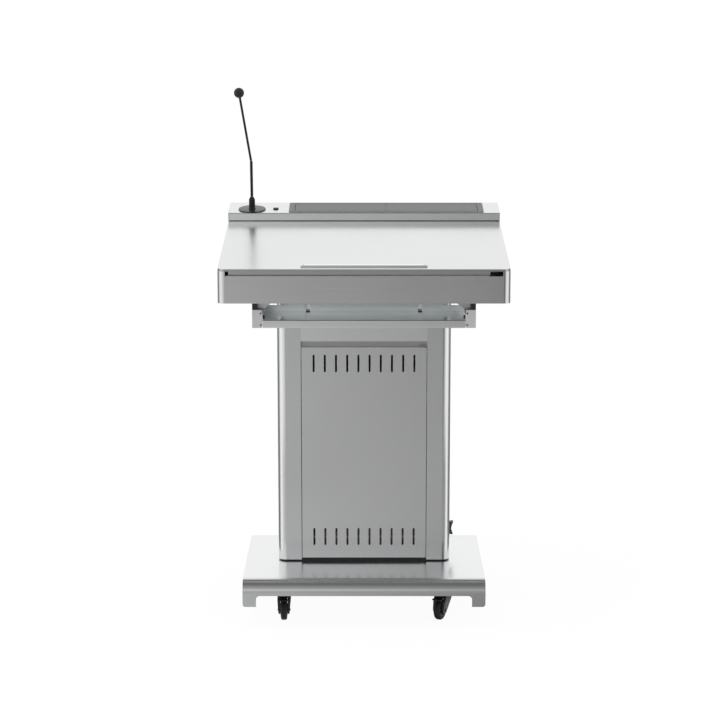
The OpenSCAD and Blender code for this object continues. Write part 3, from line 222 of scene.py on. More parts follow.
# %% [markdown]
# ## The room's light
# The room is built like a product studio. A white sweep stands behind the lectern from the
# floor to well above it, and the sloping lid and the base throw it back as bright white. The
# ceiling is dark, which draws the bend at the base's front, and the room in front is a dim
# grey. What the eye sees past the lectern is plain white on every side, and matt surfaces
# get an even fill, so that a colour shows about as it is written.

# %% Hang the room round the lectern
def steps(tree, value, stops):
    """A grey that passes through the given (value, tone) stops, with straight lines between them."""
    low, high = stops[0][0], stops[-1][0]
    made = node(tree, "ValToRGB", {0: spread(tree, value, 0.0, 1.0, low, high)})
    ramp = made.color_ramp.elements
    for place, tone in stops[1:-1]:
        ramp.new((place - low) / (high - low)).color = (tone, tone, tone, 1)
    for end, (place, tone) in ((0, stops[0]), (-1, stops[-1])):
        ramp[end].color = (tone, tone, tone, 1)
    return made.outputs["Color"]


# each stop is the upward share of a direction and the wall's tone there
FRONT_WALL = [(-0.20, 0.50), (-0.165, 0.46), (-0.14, 0.26), (-0.06, 0.30), (0.08, 0.66), (0.28, 0.58),
              (0.45, 0.36), (0.70, 0.27), (0.95, 0.16)]
BACK_WALL = [(-0.10, BEHIND_LOW), (0.10, 1.08), (0.30, 1.06), (0.45, 0.97), (0.80, 0.90)]
CEILING, FILL = 0.16, 0.5
world = bpy.data.worlds.new("studio")
bpy.context.scene.world = world
tree = blank(world)
towards = node(tree, "TexCoord").outputs["Generated"]
aim = node(tree, "SeparateXYZ", {0: towards}).outputs
rise = soft_step(tree, aim["Z"], -0.19, -0.15)
ceiling = soft_step(tree, aim["Z"], 0.72, 0.95)
behind = soft_step(tree, aim["Y"], -0.05, 0.30)
wall = flagged(tree, aim["X"], steps(tree, aim["Z"], FRONT_WALL))
aside = node(tree, "Math", {0: aim["X"]}, operation="ABSOLUTE").outputs[0]
sides = soft_step(tree, aside, 0.45, 0.75)
front = mix_values(tree, sides, wall, SIDES_LOW)
upper = mix_values(tree, behind, front, steps(tree, aim["Z"], BACK_WALL))
tone = mix_values(tree, ceiling, mix_values(tree, rise, low_tone(tree, towards), upper), CEILING)
ray = node(tree, "LightPath").outputs
mirrored = node(tree, "Math", {0: ray["Is Glossy Ray"], 1: ray["Is Transmission Ray"]}, operation="MAXIMUM")
fill = node(tree, "Background", {"Color": (1, 1, 1, 1), "Strength": FILL})
reflected = node(tree, "Background", {"Color": (1, 1, 1, 1), "Strength": tone})
plain = node(tree, "Background", {"Color": (1, 1, 1, 1), "Strength": 1.0})
lit = node(tree, "MixShader", {0: mirrored.outputs[0], 1: fill.outputs[0], 2: reflected.outputs[0]})
both = node(tree, "MixShader", {0: ray["Is Camera Ray"], 1: lit.outputs[0], 2: plain.outputs[0]})
node(tree, "OutputWorld", {"Surface": both.outputs[0]})
print("room: fill", FILL, "ceiling", CEILING)

# %% Hang the softboxes
def softbox(name, place, aim_at, width, height, watts):
    """A rectangular area lamp at a place, turned to face a point."""
    lamp = bpy.data.lights.new(name, "AREA")
    lamp.shape, lamp.size, lamp.size_y, lamp.energy = "RECTANGLE", width, height, watts
    made = bpy.data.objects.new(name, lamp)
    made.location = place
    made.rotation_euler = (Vector(aim_at) - Vector(place)).to_track_quat("-Z", "Y").to_euler()
    made.visible_glossy = False
    bpy.context.collection.objects.link(made)
    print(name, "at", place, watts, "W")


softbox("overhead", (-0.8, -0.6, 3.6), (0, 0, 0.8), 2.4, 2.4, 34)
softbox("left_strip", (-3.2, -1.0, 1.3), (0, 0, 0.8), 0.9, 2.6, 26)
softbox("right_strip", (3.2, -0.8, 1.3), (0, 0, 0.8), 0.7, 2.6, 20)

# %% [markdown]
# ## Brushed stainless steel
# The sheets are stainless steel, brushed by a belt before they are folded: hair-fine
# scratches that all run one way. They smear reflections across the grain, which the shader's
# anisotropy does, and close up they show as faint streaks in colour, gloss and height. The
# streaks are noise that is stretched a few hundred times along the grain. A cloudy noise adds
# the slight unevenness of a handled sheet, and a rounded-edge normal catches light on folds.
# Some sheets have a steel of their own. The desk's wrap is painted darker, as painted shade.
# The tray is a satin sheet with a faint cyan tint, painted lighter as painted light under the desk.
# Its lip, the paper stop and the stop's screws are polished and painted lighter, as painted light.
# The header is painted lighter, as painted light in the desk's shade, and the finger pull is
# painted darker, as painted shade in its recess. On the lid and the base, upright faces keep only
# a share of the colour, as painted shade on their edges and sides.

# %% Brushed steel
def brushed_steel(name, streaks, light, dark, rough=0.21, pull=0.35, upright_shade=1.0):
    """Steel with belt-brushed grain: streaks holds the waves per metre along x, y and z.

    The last argument is the share of the colour that is left on upright faces: painted shade,
    which darkens the sheet's folded edges and sides.
    """
    made = bpy.data.materials.new(name)
    tree = blank(made)
    place = node(tree, "TexCoord").outputs["Object"]
    fine = noise(tree, place, streaks, 4.0, 0.7)
    cloud = noise(tree, place, 4.0, 4.0)
    colour = blend_colours(tree, spread(tree, fine, 0, 1, 0.25, 0.75), dark, light)
    # painted shade: upright faces keep only a share of the colour, so edges and sides turn darker
    if upright_shade < 1:
        upright = node(tree, "SeparateXYZ", {0: node(tree, "TexCoord").outputs["Normal"]}).outputs["Z"]
        shaded_share = spread(tree, upright, upright_shade, 1.0, 0.2, 0.8)
        colour = node(tree, "VectorMath", {0: colour, "Scale": shaded_share}, operation="SCALE").outputs["Vector"]
    gloss = node(tree, "Math", {0: spread(tree, fine, rough - 0.02, rough + 0.03, 0.3, 0.7),
                                1: spread(tree, cloud, -0.015, 0.03, 0.3, 0.7)}, operation="ADD")
    edge = node(tree, "Bevel", {"Radius": 0.0008}, samples=4).outputs["Normal"]
    relief = node(tree, "Bump", {"Height": fine, "Strength": 0.03, "Distance": 0.0002, "Normal": edge})
    facing = node(tree, "NewGeometry").outputs["Normal"]
    level = node(tree, "VectorMath", {0: facing, 1: (0.0, -0.05, 1.0)}, operation="CROSS_PRODUCT")
    skin = node(tree, "BsdfPrincipled", {
        "Base Color": colour, "Roughness": gloss.outputs[0], "Metallic": 1.0,
        "Anisotropic": pull, "Normal": relief.outputs["Normal"], "Tangent": level.outputs["Vector"]})
    node(tree, "OutputMaterial", {"Surface": skin.outputs[0]})
    return made


steel_light, steel_dark = (0.82, 0.825, 0.83), (0.76, 0.765, 0.77)
across, around, recess_streaks = (5, 900, 900), (5, 5, 900), (60, 300, 300)
steel_across = brushed_steel("steel_brushed_across", across, steel_light, steel_dark)
steel_around = brushed_steel("steel_brushed_around", around, steel_light, steel_dark)
# painted shade: the desk's wrap gets a darker copy of the steel
desk_steel_painted_shade = brushed_steel("steel_brushed_desk_painted_shade", around, (0.74, 0.742, 0.745), (0.69, 0.692, 0.695))
# the tray's own faint cyan tint, plus painted light: the colour is raised to brighten it under the desk
tray_steel_painted_light = brushed_steel("steel_satin_tray_painted_light", across, (0.80, 0.84, 0.84), (0.76, 0.79, 0.79), 0.20, 0.1)
# painted shade: the finger pull's steel is darker, standing in for the shade in its recess
recess_shade_steel = brushed_steel("steel_painted_recess_shade", recess_streaks, (0.52, 0.52, 0.53), (0.46, 0.46, 0.47), 0.32, 0.0)
# painted light: a polished steel painted lighter, for the lip facing, the paper stop and its screws
lip_steel_painted_light = brushed_steel("steel_polished_lip_painted_light", across, (0.96, 0.97, 0.97), (0.90, 0.91, 0.91), 0.19, 0.1)
# painted shade: the lid's front edge and flange and the base's upright faces are darkened
lid_steel = brushed_steel("steel_brushed_lid_shaded_uprights", across, steel_light, steel_dark, upright_shade=0.60)
base_steel = brushed_steel("steel_brushed_base_shaded_uprights", across, steel_light, steel_dark, upright_shade=0.86)
# painted light: the header gets a lighter copy of the steel, brightening it in the desk's shade
header_steel_painted_light = brushed_steel("steel_brushed_header_painted_light", across, (0.93, 0.935, 0.94), (0.87, 0.875, 0.88))
print("steel:", ", ".join(made.name for made in (
    steel_across, steel_around, desk_steel_painted_shade, tray_steel_painted_light, recess_shade_steel,
    lip_steel_painted_light, lid_steel, base_steel, header_steel_painted_light)))

# %% [markdown]
# ## Painted, plated and moulded finishes
# The hatch is anodised aluminium: bead-blasted first, so it is finely grained and dark grey.
# The base frame is powder coated, with the slight orange-peel of baked powder, and the necks
# and their boot are soft black rubber. Inner brackets, slides and screws are zinc plated,
# cloudy and a little bluish. Switches, sockets and the cable ring are moulded plastic with a
# spark-eroded texture.

# %% One recipe for grained finishes
def grained(name, dark, light, rough, metal=0.0, peel=900.0, depth=0.0001, cloud=5.0, worn=None,
            spec=0.5, sheen=0.0):
    """A finish with cloudy colour, uneven gloss and a fine raised grain; worn is the edges' colour."""
    made = bpy.data.materials.new(name)
    tree = blank(made)
    place = node(tree, "TexCoord").outputs["Object"]
    clouds = noise(tree, place, cloud, 4.0)
    peel_height = noise(tree, place, peel, 2.0)
    colour = blend_colours(tree, spread(tree, clouds, 0, 1, 0.3, 0.7), dark, light)
    rounded = node(tree, "Bevel", {"Radius": 0.0006}, samples=4).outputs["Normal"]
    if worn:
        facing = node(tree, "NewGeometry").outputs["Normal"]
        turn = node(tree, "VectorMath", {0: facing, 1: rounded}, operation="DOT_PRODUCT").outputs["Value"]
        rub = noise(tree, place, 160.0, 3.0)
        edge_share = node(tree, "Math", {0: spread(tree, turn, 1, 0, 0.8, 0.99),
                                         1: spread(tree, rub, 0, 1, 0.45, 0.6)}, operation="MULTIPLY")
        worn_mix = node(tree, "Mix", {"Factor": edge_share.outputs[0], "A": colour}, data_type="RGBA")
        worn_mix.inputs["B"].default_value = (*worn, 1)
        colour = worn_mix.outputs["Result"]
    gloss = node(tree, "Math", {0: spread(tree, peel_height, rough - 0.04, rough + 0.04, 0.3, 0.7),
                                1: spread(tree, clouds, -0.03, 0.03, 0.3, 0.7)}, operation="ADD")
    relief = node(tree, "Bump", {"Height": peel_height, "Strength": 0.3, "Distance": depth,
                                 "Normal": rounded})
    skin = node(tree, "BsdfPrincipled", {
        "Base Color": colour, "Roughness": gloss.outputs[0], "Metallic": metal,
        "Specular IOR Level": spec, "Sheen Weight": sheen,
        "Normal": relief.outputs["Normal"]})
    node(tree, "OutputMaterial", {"Surface": skin.outputs[0]})
    return made


finishes = {
    # painted shade: the lid's hinges also take this dark finish, standing in for the shade in the gap
    # behind the lid
    "dark_anodised": grained("dark_anodised", (0.23, 0.235, 0.24), (0.27, 0.272, 0.275), 0.46, metal=1.0,
                             peel=2500, depth=0.00005, worn=(0.5, 0.5, 0.5)),
    "black_paint": grained("black_powder_coat", (0.012, 0.012, 0.013), (0.020, 0.020, 0.021), 0.45,
                           peel=700, depth=0.0001, worn=(0.12, 0.12, 0.12)),
    "zinc": grained("bright_zinc", (0.50, 0.52, 0.54), (0.62, 0.63, 0.64), 0.34, metal=1.0, peel=300,
                    depth=0.00004, cloud=40),
    "black_plastic": grained("moulded_plastic", (0.020, 0.020, 0.021), (0.028, 0.028, 0.029), 0.48,
                             peel=1800, depth=0.00008),
    # painted shade: a grey fill for the slot under the lid
    "slot_shade_fill": grained("painted_slot_shade", (0.40, 0.40, 0.40), (0.46, 0.46, 0.46), 0.85,
                         peel=900, depth=0.0003),
    "strip_rubber": grained("strip_rubber", (0.050, 0.050, 0.051), (0.065, 0.065, 0.066), 0.55,
                            peel=900, depth=0.00005),
    "switch_plastic": grained("switch_plastic", (0.075, 0.075, 0.077), (0.095, 0.095, 0.097), 0.42,
                              peel=1800, depth=0.00006),
    "pale_grey_paint": grained("pale_grey_paint", (0.62, 0.62, 0.62), (0.66, 0.66, 0.66), 0.40,
                               peel=700, depth=0.00008, worn=(0.72, 0.72, 0.72)),
    "gloss_black": grained("satin_black_lacquer", (0.016, 0.016, 0.017), (0.022, 0.022, 0.023), 0.24,
                           peel=500, depth=0.00003, worn=(0.1, 0.1, 0.1)),
    "caster_black": grained("caster_polyamide", (0.011, 0.011, 0.012), (0.017, 0.017, 0.018), 0.42,
                            peel=1200, depth=0.00008, worn=(0.08, 0.08, 0.08)),
    "tyre": grained("grey_black_rubber", (0.012, 0.012, 0.013), (0.021, 0.020, 0.020), 0.68,
                    peel=900, depth=0.0001, cloud=60),
    "boot_rubber": grained("soft_black_rubber", (0.006, 0.006, 0.006), (0.011, 0.011, 0.011), 0.50,
                           peel=900, depth=0.00005, spec=0.35),
    "foam": grained("open_cell_foam", (0.010, 0.010, 0.011), (0.024, 0.024, 0.025), 0.92,
                    peel=1400, depth=0.0006, cloud=700, sheen=0.3),
}
print("finishes:", ", ".join(finishes))

# %% Give every solid its finish
steel_on = {"desk_wrap": desk_steel_painted_shade, "desk_rear_panel": steel_around, "side_shell_left": steel_around,
            "side_shell_right": steel_around, "tray": tray_steel_painted_light, "finger_pull": recess_shade_steel,
            "lid": lid_steel, "base_cover": base_steel, "header_panel": header_steel_painted_light}
plastic_on = {"switch_housing": "switch_plastic", "power_rocker": "switch_plastic"}
for name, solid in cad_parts.items():
    slot = solid.material_slots[0].material.name.split(".")[0]
    if slot == "stainless":
        paint = steel_on.get(name, steel_across)
    else:
        paint = finishes[plastic_on.get(name, slot)]
    for seat in solid.material_slots:
        seat.material = paint
print("painted", len(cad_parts), "solids")

# %% [markdown]
# ## Surfaces from rings
# The small parts are nearly all turned or drawn shapes, so they are built as rings. A ring is a
# row of points round an axis, and a shape is a stack of rings joined by four-sided faces. The
# two ends close on one middle point each, or the last ring joins the first, as in a tyre.

# %% Rings, stacks and places
mm = 0.001


def stack_faces(rings, around, loop):
    """Faces of a stack of rings; without a loop, two more points at the end close it as poles."""
    i = np.arange(rings if loop else rings - 1)[:, None] * around
    j = np.arange(around)
    k = (j + 1) % around
    up = (i + around) % (rings * around)
    faces = np.stack([i + j, i + k, up + k, up + j], -1).reshape(-1, 4).tolist()
    if not loop:
        low, high, top = rings * around, rings * around + 1, (rings - 1) * around
        faces += np.stack([k, j, np.full(around, low)], -1).tolist()
        faces += np.stack([top + j, top + k, np.full(around, high)], -1).tolist()
    return faces


def turned(profile, around=64, loop=False, wave=None):
    """A turned shape in millimetres: ring i has radius r_i at height h_i, both from the profile.

    Point (i, a) lies at ((r_i + w) cos a, (r_i + w) sin a, h_i), where w is the wave's share
    for that ring and angle. Rings run upwards on the outside, so the faces point outwards.
    """
    r, h = np.asarray(profile, float).T[:, :, None] * mm
    a = np.linspace(0, 2 * np.pi, around, endpoint=False)[None, :]
    w = 0 if wave is None else wave(h / mm, a) * mm
    rings = np.stack([(r + w) * np.cos(a), (r + w) * np.sin(a), h + 0 * a], -1)
    points = rings.reshape(-1, 3)
    if not loop:
        points = np.vstack([points, rings[0].mean(0), rings[-1].mean(0)])
    return points, stack_faces(len(profile), around, loop)


def arc(middle, radius, start, end, count):
    """Profile points on a quarter or other share of a circle, from start to end in degrees."""
    a = np.radians(np.linspace(start, end, count))
    return [(middle[0] + radius * np.cos(v), middle[1] + radius * np.sin(v)) for v in a]


def placed(shape, *turns_and_moves):
    """The shape's points carried through the given places, the last one first."""
    points, faces = shape
    for place in reversed(turns_and_moves):
        spot = np.array(place)
        points = points @ spot[:3, :3].T + spot[:3, 3]
    return points, faces


def together(shapes):
    """Several shapes as one: the points in a row, each shape's faces counted on from the last."""
    starts = np.cumsum([0] + [len(points) for points, _ in shapes])
    faces = [[v + start for v in face] for (_, fs), start in zip(shapes, starts) for face in fs]
    return np.vstack([points for points, _ in shapes]), faces


def piece(name, shape, finish, body, stands_for=(), crease=35):
    """Puts a shape into the scene as a piece that rides on a body."""
    points, faces = shape
    mesh = bpy.data.meshes.new(name)
    mesh.from_pydata(points.tolist(), [], faces)
    mesh.polygons.foreach_set("use_smooth", np.ones(len(faces), bool))
    mesh.set_sharp_from_angle(angle=np.radians(crease))
    mesh.materials.append(finish)
    made = bpy.data.objects.new(name, mesh)
    bpy.context.collection.objects.link(made)
    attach(made, body)
    if stands_for:
        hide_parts(*stands_for)
    print(name, len(faces), "faces on", body)


def move(x, y, z):
    """A place moved by millimetres."""
    return Matrix.Translation((x * mm, y * mm, z * mm))


def turn(degrees, axis):
    """A place turned about an axis."""
    return Matrix.Rotation(np.radians(degrees), 4, axis)


print("shape helpers ready, in millimetres")

# %% [markdown]
# ## The microphone
# The neck is a gooseneck: a spring wound from round wire, with a second wire of triangular
# section pressed between its turns, so that it stays where it is bent. Its surface is a fine
# screw thread without a crest. A thread is a ring stack whose radius waves once per pitch up
# the neck and also moves on by one whole wave round the neck, so it closes on itself.

# %% Where the microphone stands
slope_deg, desk_front, lid_front_z = 9.0, -305.0, 1034.0
desk_depth, console_rise, console_depth = 610.0, 24.0, 121.4
leaning = np.radians(slope_deg)
console_s = (desk_depth + console_rise * np.sin(leaning)) / np.cos(leaning) - console_depth
on_slope = move(0, desk_front, lid_front_z) @ turn(slope_deg, "X")
mic_x, mic_s = -333.0, console_s + 42.0
at_mic = on_slope @ move(mic_x, mic_s, console_rise)
bend_h, neck_lean = 144.6, 8.8
at_bend = at_mic @ move(0, 0, bend_h) @ turn(-neck_lean, "Y")
print("microphone foot at", [round(v, 4) for v in at_mic.translation])


# %% The two necks
def thread(pitch, depth, start, end):
    """Wave that sinks the surface by up to depth between crests, fading out beyond start and end."""
    def wave(h, a):
        inside = np.clip((h - start) / pitch, 0, 1) * np.clip((end - h) / pitch, 0, 1)
        return -depth * inside * (0.5 - 0.5 * np.cos(2 * np.pi * h / pitch - a)) ** 1.5
    return wave


def straight(radius, start, end, step):
    """Profile points of one radius from start to end, about a step apart."""
    return [(radius, h) for h in np.linspace(start, end, int(round((end - start) / step)) + 1)]


neck_r, upper_r, joint_h, thread_depth, neck_around = 4.2, 3.5, 43.5, 0.3, 28
lower = (arc((0, joint_h), neck_r, -85, 0, 10)[:-1] + straight(neck_r, joint_h, bend_h, 0.34)
         + arc((0, bend_h), neck_r, 0, 85, 10)[1:])
lower_wave = thread(2.2, thread_depth, joint_h + 3, bend_h - 2)
piece("ribbed_lower_neck", placed(turned(lower, neck_around, wave=lower_wave), at_mic),
      finishes["boot_rubber"], "mic_lower", ["mic_lower_neck"])
capsule_r, capsule_foot, capsule_h = 6.0, 201.0, 16.0
upper = (straight(upper_r, neck_r + 0.3, capsule_foot, 0.32) + [(capsule_r - 0.6, capsule_foot + 0.05)]
         + [(capsule_r, capsule_foot + 0.6), (capsule_r, capsule_foot + 4)]
         + [(capsule_r - 0.4, capsule_foot + 4.4), (capsule_r - 0.4, capsule_foot + 5.2)]
         + [(capsule_r, capsule_foot + 5.6)]
         + arc((capsule_r - 1, capsule_foot + capsule_h - 1), 1, 0, 80, 5))
upper_wave = thread(1.9, thread_depth, neck_r + 3, capsule_foot - 5)
piece("ribbed_upper_neck", placed(turned(upper, neck_around, wave=upper_wave), at_bend),
      finishes["boot_rubber"], "mic_upper", ["mic_upper_neck"])

# %% [markdown]
# ## The foam ball
# The windscreen is cut from open-cell foam. Its outline is not quite smooth, because the cells
# are torn open at the surface. The lumps are a sum of many waves that run in all directions
# through the ball, with a fixed seed, and they only sink into it, so it keeps its diameter.

# %% Cut the foam ball
ball_r, ball_h, mouth_r = 15.0, 209.0, 3.6
mouth = np.degrees(np.arcsin(mouth_r / ball_r))
ball = [(mouth_r, ball_h - ball_r * np.cos(np.radians(mouth)) + 1.5)]
ball += arc((0, ball_h), ball_r, mouth - 90, 89, 90)


def foamy(points, middle, radius, depth, seed):
    """Sinks each point towards the middle by up to depth, after a sum of waves over its direction."""
    dice = np.random.default_rng(seed)
    ways = dice.normal(size=(60, 3))
    ways *= (dice.uniform(25, 90, 60) / np.linalg.norm(ways, axis=1))[:, None]
    out = (points - middle) / radius
    lumps = np.cos(out @ ways.T + dice.uniform(0, 2 * np.pi, 60)).sum(1) / np.sqrt(60)
    return points - (points - middle) / radius * (depth * np.clip(0.5 + 0.5 * lumps, 0, 1))[:, None]


ball_points, ball_faces = turned(ball, 120)
ball_points = foamy(ball_points, np.array([0, 0, ball_h * mm]), ball_r * mm, 0.5 * mm, 7)
piece("foam_windscreen", placed((ball_points, ball_faces), at_bend), finishes["foam"], "mic_upper",
      ["mic_windscreen"], crease=180)

# %% [markdown]
# ## The microphone's foot
# A lacquered disc holds the neck on the console, and a soft rubber boot takes the strain at
# the neck's root. Both are turned. The boot is fluted, so that it can bend: its radius waves
# round the neck, and the flutes run out at its flared foot and at the taper.

# %% Turn the foot
disc_r, disc_t, boot_r, boot_top, cup_r = 41.0, 3.0, 9.0, 31.0, 5.2
foot = [(5.2, -20), (5.6, -19.6), (5.6, -0.02), (disc_r - 0.4, 0), (disc_r, 0.3)]
foot += arc((disc_r - 1.8, disc_t - 0.9), 0.9, 0, 90, 7) + [(boot_r + 2.2, disc_t), (4.0, disc_t - 0.1)]
piece("microphone_foot", placed(turned(foot, 128), at_mic), finishes["gloss_black"], "stand",
      ["mic_base"])
boot = [(4.0, disc_t + 0.05), (boot_r + 1.6, disc_t + 0.05), (boot_r + 1.7, disc_t + 0.9),
        (boot_r + 0.9, disc_t + 1.9)]
boot += [(boot_r, h) for h in np.linspace(disc_t + 4, boot_top - 1, 12)]
boot += [(boot_r - 0.3, boot_top + 0.4), (7.4, 34.2), (6.1, 36.8), (cup_r, 38.7),
         (cup_r - 0.4, 39.0), (3.6, 38.9)]


def flutes(count, depth, start, end, fade):
    """Wave that sinks flutes by up to depth between the heights start and end."""
    def wave(h, a):
        inside = np.clip((h - start) / fade, 0, 1) * np.clip((end - h) / fade, 0, 1)
        return -depth * inside * (0.5 - 0.5 * np.cos(count * a)) ** 2
    return wave


boot_shape = turned(boot, 120, wave=flutes(10, 1.1, disc_t + 2, boot_top + 2, 3))
piece("microphone_boot", placed(boot_shape, at_mic), finishes["boot_rubber"], "stand")

# %% [markdown]
# ## Wheels
# Each wheel is a moulded hub with a rubber tyre. The tyre is a closed ring with two fine
# grooves in its tread, and the hub is a closed ring whose sunk web has six ribs. A domed
# head closes each end of the axle, outside the fork.

# %% Mould the tyres and hubs
wheel_r, wheel_w, trail, hub_r, bore_r = 30.0, 19.0, 24.0, 20.0, 4.06
half = wheel_w / 2
shoulder, flank, groove_x, groove_depth = 5.5, 8.8, 1.8, 0.7
groove_r = wheel_r - groove_depth
tread = []
for x in (-groove_x, groove_x):
    tread += [(wheel_r, x - 0.6), (groove_r, x - 0.35), (groove_r, x + 0.35), (wheel_r, x + 0.6)]
tyre_ring = ([(hub_r + 0.02, flank - 0.02), (hub_r + 0.02, -flank + 0.02), (hub_r + 0.4, -flank)]
             + arc((wheel_r - shoulder, shoulder - flank), shoulder, -90, 0, 10) + tread
             + arc((wheel_r - shoulder, flank - shoulder), shoulder, 0, 90, 10) + [(hub_r + 0.4, flank)])
web = [(bore_r, half), (bore_r, -half), (7.6, -half), (8, 0.4 - half), (8.4, 3 - half), (15.6, 3 - half),
       (16, 0.4 - half), (16.4, -half), (19.6, -half), (hub_r, 0.4 - half)]
hub_ring = web + [(r, -h) for r, h in web[:1:-1]]


def ribbed(shape, around, rings, depth, count):
    """Pulls the web's rings out to both sides by up to depth at each of the hub's ribs."""
    points, faces = shape
    a = np.linspace(0, 2 * np.pi, around, endpoint=False)
    rib = depth * mm * (0.5 + 0.5 * np.cos(count * a)) ** 8
    grid = points.reshape(-1, around, 3).copy()
    grid[rings, :, 2] += np.sign(grid[rings, :, 2]) * rib
    return grid.reshape(-1, 3), faces


wheel_around, web_rings, rib_depth, rib_count = 96, [4, 5, 14, 15], 2.2, 6
hub_shape = ribbed(turned(hub_ring, wheel_around, loop=True), wheel_around, web_rings, rib_depth, rib_count)
tyre_shape = turned(tyre_ring, wheel_around, loop=True)
dome = [(5.0, 0), (5.0, 1.6)] + arc((0, -4.6), 8.0, 51, 88, 6)
caster_x, front_y, rear_y, head_seat = 230.0, -150.0, 146.0, 15.3
corners = {"fl": (-caster_x, front_y, 0), "fr": (caster_x, front_y, -27),
           "rl": (-caster_x, rear_y, 0), "rr": (caster_x, rear_y, 0)}
for corner, (x, y, swivel) in corners.items():
    axle = move(x, y, 0) @ turn(swivel, "Z") @ move(0, -trail, wheel_r)
    lying = axle @ turn(90, "Y")
    wheel, fork = "wheel_" + corner, "fork_" + corner
    piece("tyre_" + corner, placed(tyre_shape, lying), finishes["tyre"], wheel,
          ["wheel_tyre_" + corner])
    piece("hub_" + corner, placed(hub_shape, lying), finishes["caster_black"], wheel,
          ["wheel_hub_" + corner])
    heads = [placed(turned(dome, 32), axle @ turn(90 * side, "Y") @ move(0, 0, head_seat))
             for side in (-1, 1)]
    piece("axle_heads_" + corner, together(heads), finishes["caster_black"], fork)

# %% [markdown]
# ## Screws at the back
# The rear panel is held by button-head screws with a six-sided socket. The socket's wall is
# the curve where a hexagon's straight sides cut the turned head: at angle a, its radius is
# the flat's half width divided by the cosine of the angle to the nearest flat's middle.

# %% Turn the screws
def button_screw(head_r, head_h, socket, depth, shank_r, shank_l, around=48):
    """Rings from the shank's end up over the dome and down into the hexagonal socket."""
    a = np.linspace(0, 2 * np.pi, around, endpoint=False)
    hexagon = socket / np.cos((a + np.pi / 6) % (np.pi / 3) - np.pi / 6)
    rows = [(np.full(around, r), np.full(around, h)) for r, h in
            [(shank_r, -shank_l), (shank_r, 0), (head_r, 0), (head_r, 0.3)]]
    for share in np.linspace(0.15, 1, 6):
        r = head_r + (socket * 1.25 - head_r) * share
        h = head_h * np.sqrt(1 - (1 - share) ** 2 * 0.85)
        rows.append((np.full(around, r), np.full(around, h)))
    rows += [(hexagon, np.full(around, head_h)), (hexagon * 0.98, np.full(around, head_h - depth)),
             (hexagon * 0.2, np.full(around, head_h - depth - 0.3))]
    rings = np.stack([np.stack([r * np.cos(a), r * np.sin(a), h], -1) for r, h in rows]) * mm
    points = np.vstack([rings.reshape(-1, 3), rings[0].mean(0), rings[-1].mean(0)])
    return points, stack_faces(len(rows), around, False)


screw = button_screw(head_r=4.5, head_h=2.2, socket=1.5, depth=1.3, shank_r=2.0, shank_l=7.0)
screw_x, panel_y, lowest, pitch = 206.0, 197.0, 184.0, 179.0
screw_spots = [(x, panel_y, lowest + pitch * i) for x in (-screw_x, screw_x) for i in range(5)]
screws = [placed(screw, move(*spot) @ turn(-90, "X") @ turn(37.0 * n, "Z"))
          for n, spot in enumerate(screw_spots)]
piece("panel_screw_heads", together(screws), finishes["zinc"], "stand", ["panel_screws"])

# %% [markdown]
# ## Small parts on the tray
# Small rubber parts sit round the keyboard tray: two plugs in each end cap, a grommet in each
# side wall, a plug at the foot of each cable notch and an edge strip on the front lip. The lip
# has a polished steel facing, and the rear upstand ends in a rolled hem that stops at the
# cable notches and short of the slides. Apart from the grommets, they are rounded blocks and
# bars: a ball or a circle whose every direction is pushed out towards a box, so that faces are
# nearly flat and edges stay soft.

# %% Rounded blocks and bars
def soft(v, power=0.35):
    """Sine or cosine values pushed out towards -1 and 1 by a low power."""
    return np.sign(v) * np.abs(v) ** power


def rounded_block(width, depth, height, rows=20, around=40):
    """Superellipsoid: sines and cosines of the ball's two angles, each raised to a low power."""
    u = np.linspace(-np.pi / 2, np.pi / 2, rows + 2)[1:-1, None]
    a = np.linspace(0, 2 * np.pi, around, endpoint=False)[None, :]
    rings = np.stack([soft(np.cos(u)) * soft(np.cos(a)) * width / 2,
                      soft(np.cos(u)) * soft(np.sin(a)) * depth / 2,
                      soft(np.sin(u)) * height / 2 + 0 * a], -1) * mm
    poles = np.array([[0, 0, -height / 2], [0, 0, height / 2]]) * mm
    return np.vstack([rings.reshape(-1, 3), poles]), stack_faces(rows, around, False)


def rounded_bar(depth, height, start, end, power, around=40):
    """Bar along x from start to end; its section is a superellipse, deep in y and high in z."""
    a = np.linspace(0, 2 * np.pi, around, endpoint=False)[None, :]
    x = np.array([start, start + 0.3, end - 0.3, end])[:, None]
    size = np.array([0.8, 1.0, 1.0, 0.8])[:, None]
    rings = np.stack([x + 0 * a, size * soft(np.cos(a), power) * depth / 2,
                      size * soft(np.sin(a), power) * height / 2], -1) * mm
    points = np.vstack([rings.reshape(-1, 3), rings[0].mean(0), rings[-1].mean(0)])
    return points, stack_faces(len(rings), around, False)


print("rounded blocks and bars ready")

# %% Fit the small parts to the tray
tray_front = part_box("tray")[0][1] / mm
tray_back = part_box("tray")[1][1] / mm
caps_low, caps_high = (corner[2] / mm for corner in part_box("tray_end_caps"))
plug_x, wall_x, notch_x, notch_half, lip_end, hem_end = 283.4, 277.6, 160, 6.5, 279, 228
plug = rounded_block(4.4, 3.6, 5.4)
plugs = [placed(plug, move(side * plug_x, tray_front + 2.0, z)) for side in (-1, 1)
         for z in (caps_low + 8, caps_high - 10)]
piece("cap_plugs", together(plugs), finishes["black_plastic"], "tray")
ring = [(4.2, -0.2), (4.2, 0.9), (5.4, 1.4), (5.4, 3.2), (4.9, 3.8), (3.4, 3.8), (2.6, 3.2), (2.6, -2.4)]
grommet = turned(ring, 40, loop=True)
grommets = [placed(grommet, move(side * wall_x, tray_front + 16, caps_low + 28.4) @ turn(-90 * side, "Y"))
            for side in (-1, 1)]
piece("tray_grommets", together(grommets), finishes["black_plastic"], "tray")
foot_block = rounded_block(11.6, 4.0, 2.4)
feet = [placed(foot_block, move(side * notch_x, tray_back - 1.2, caps_low + 11.4)) for side in (-1, 1)]
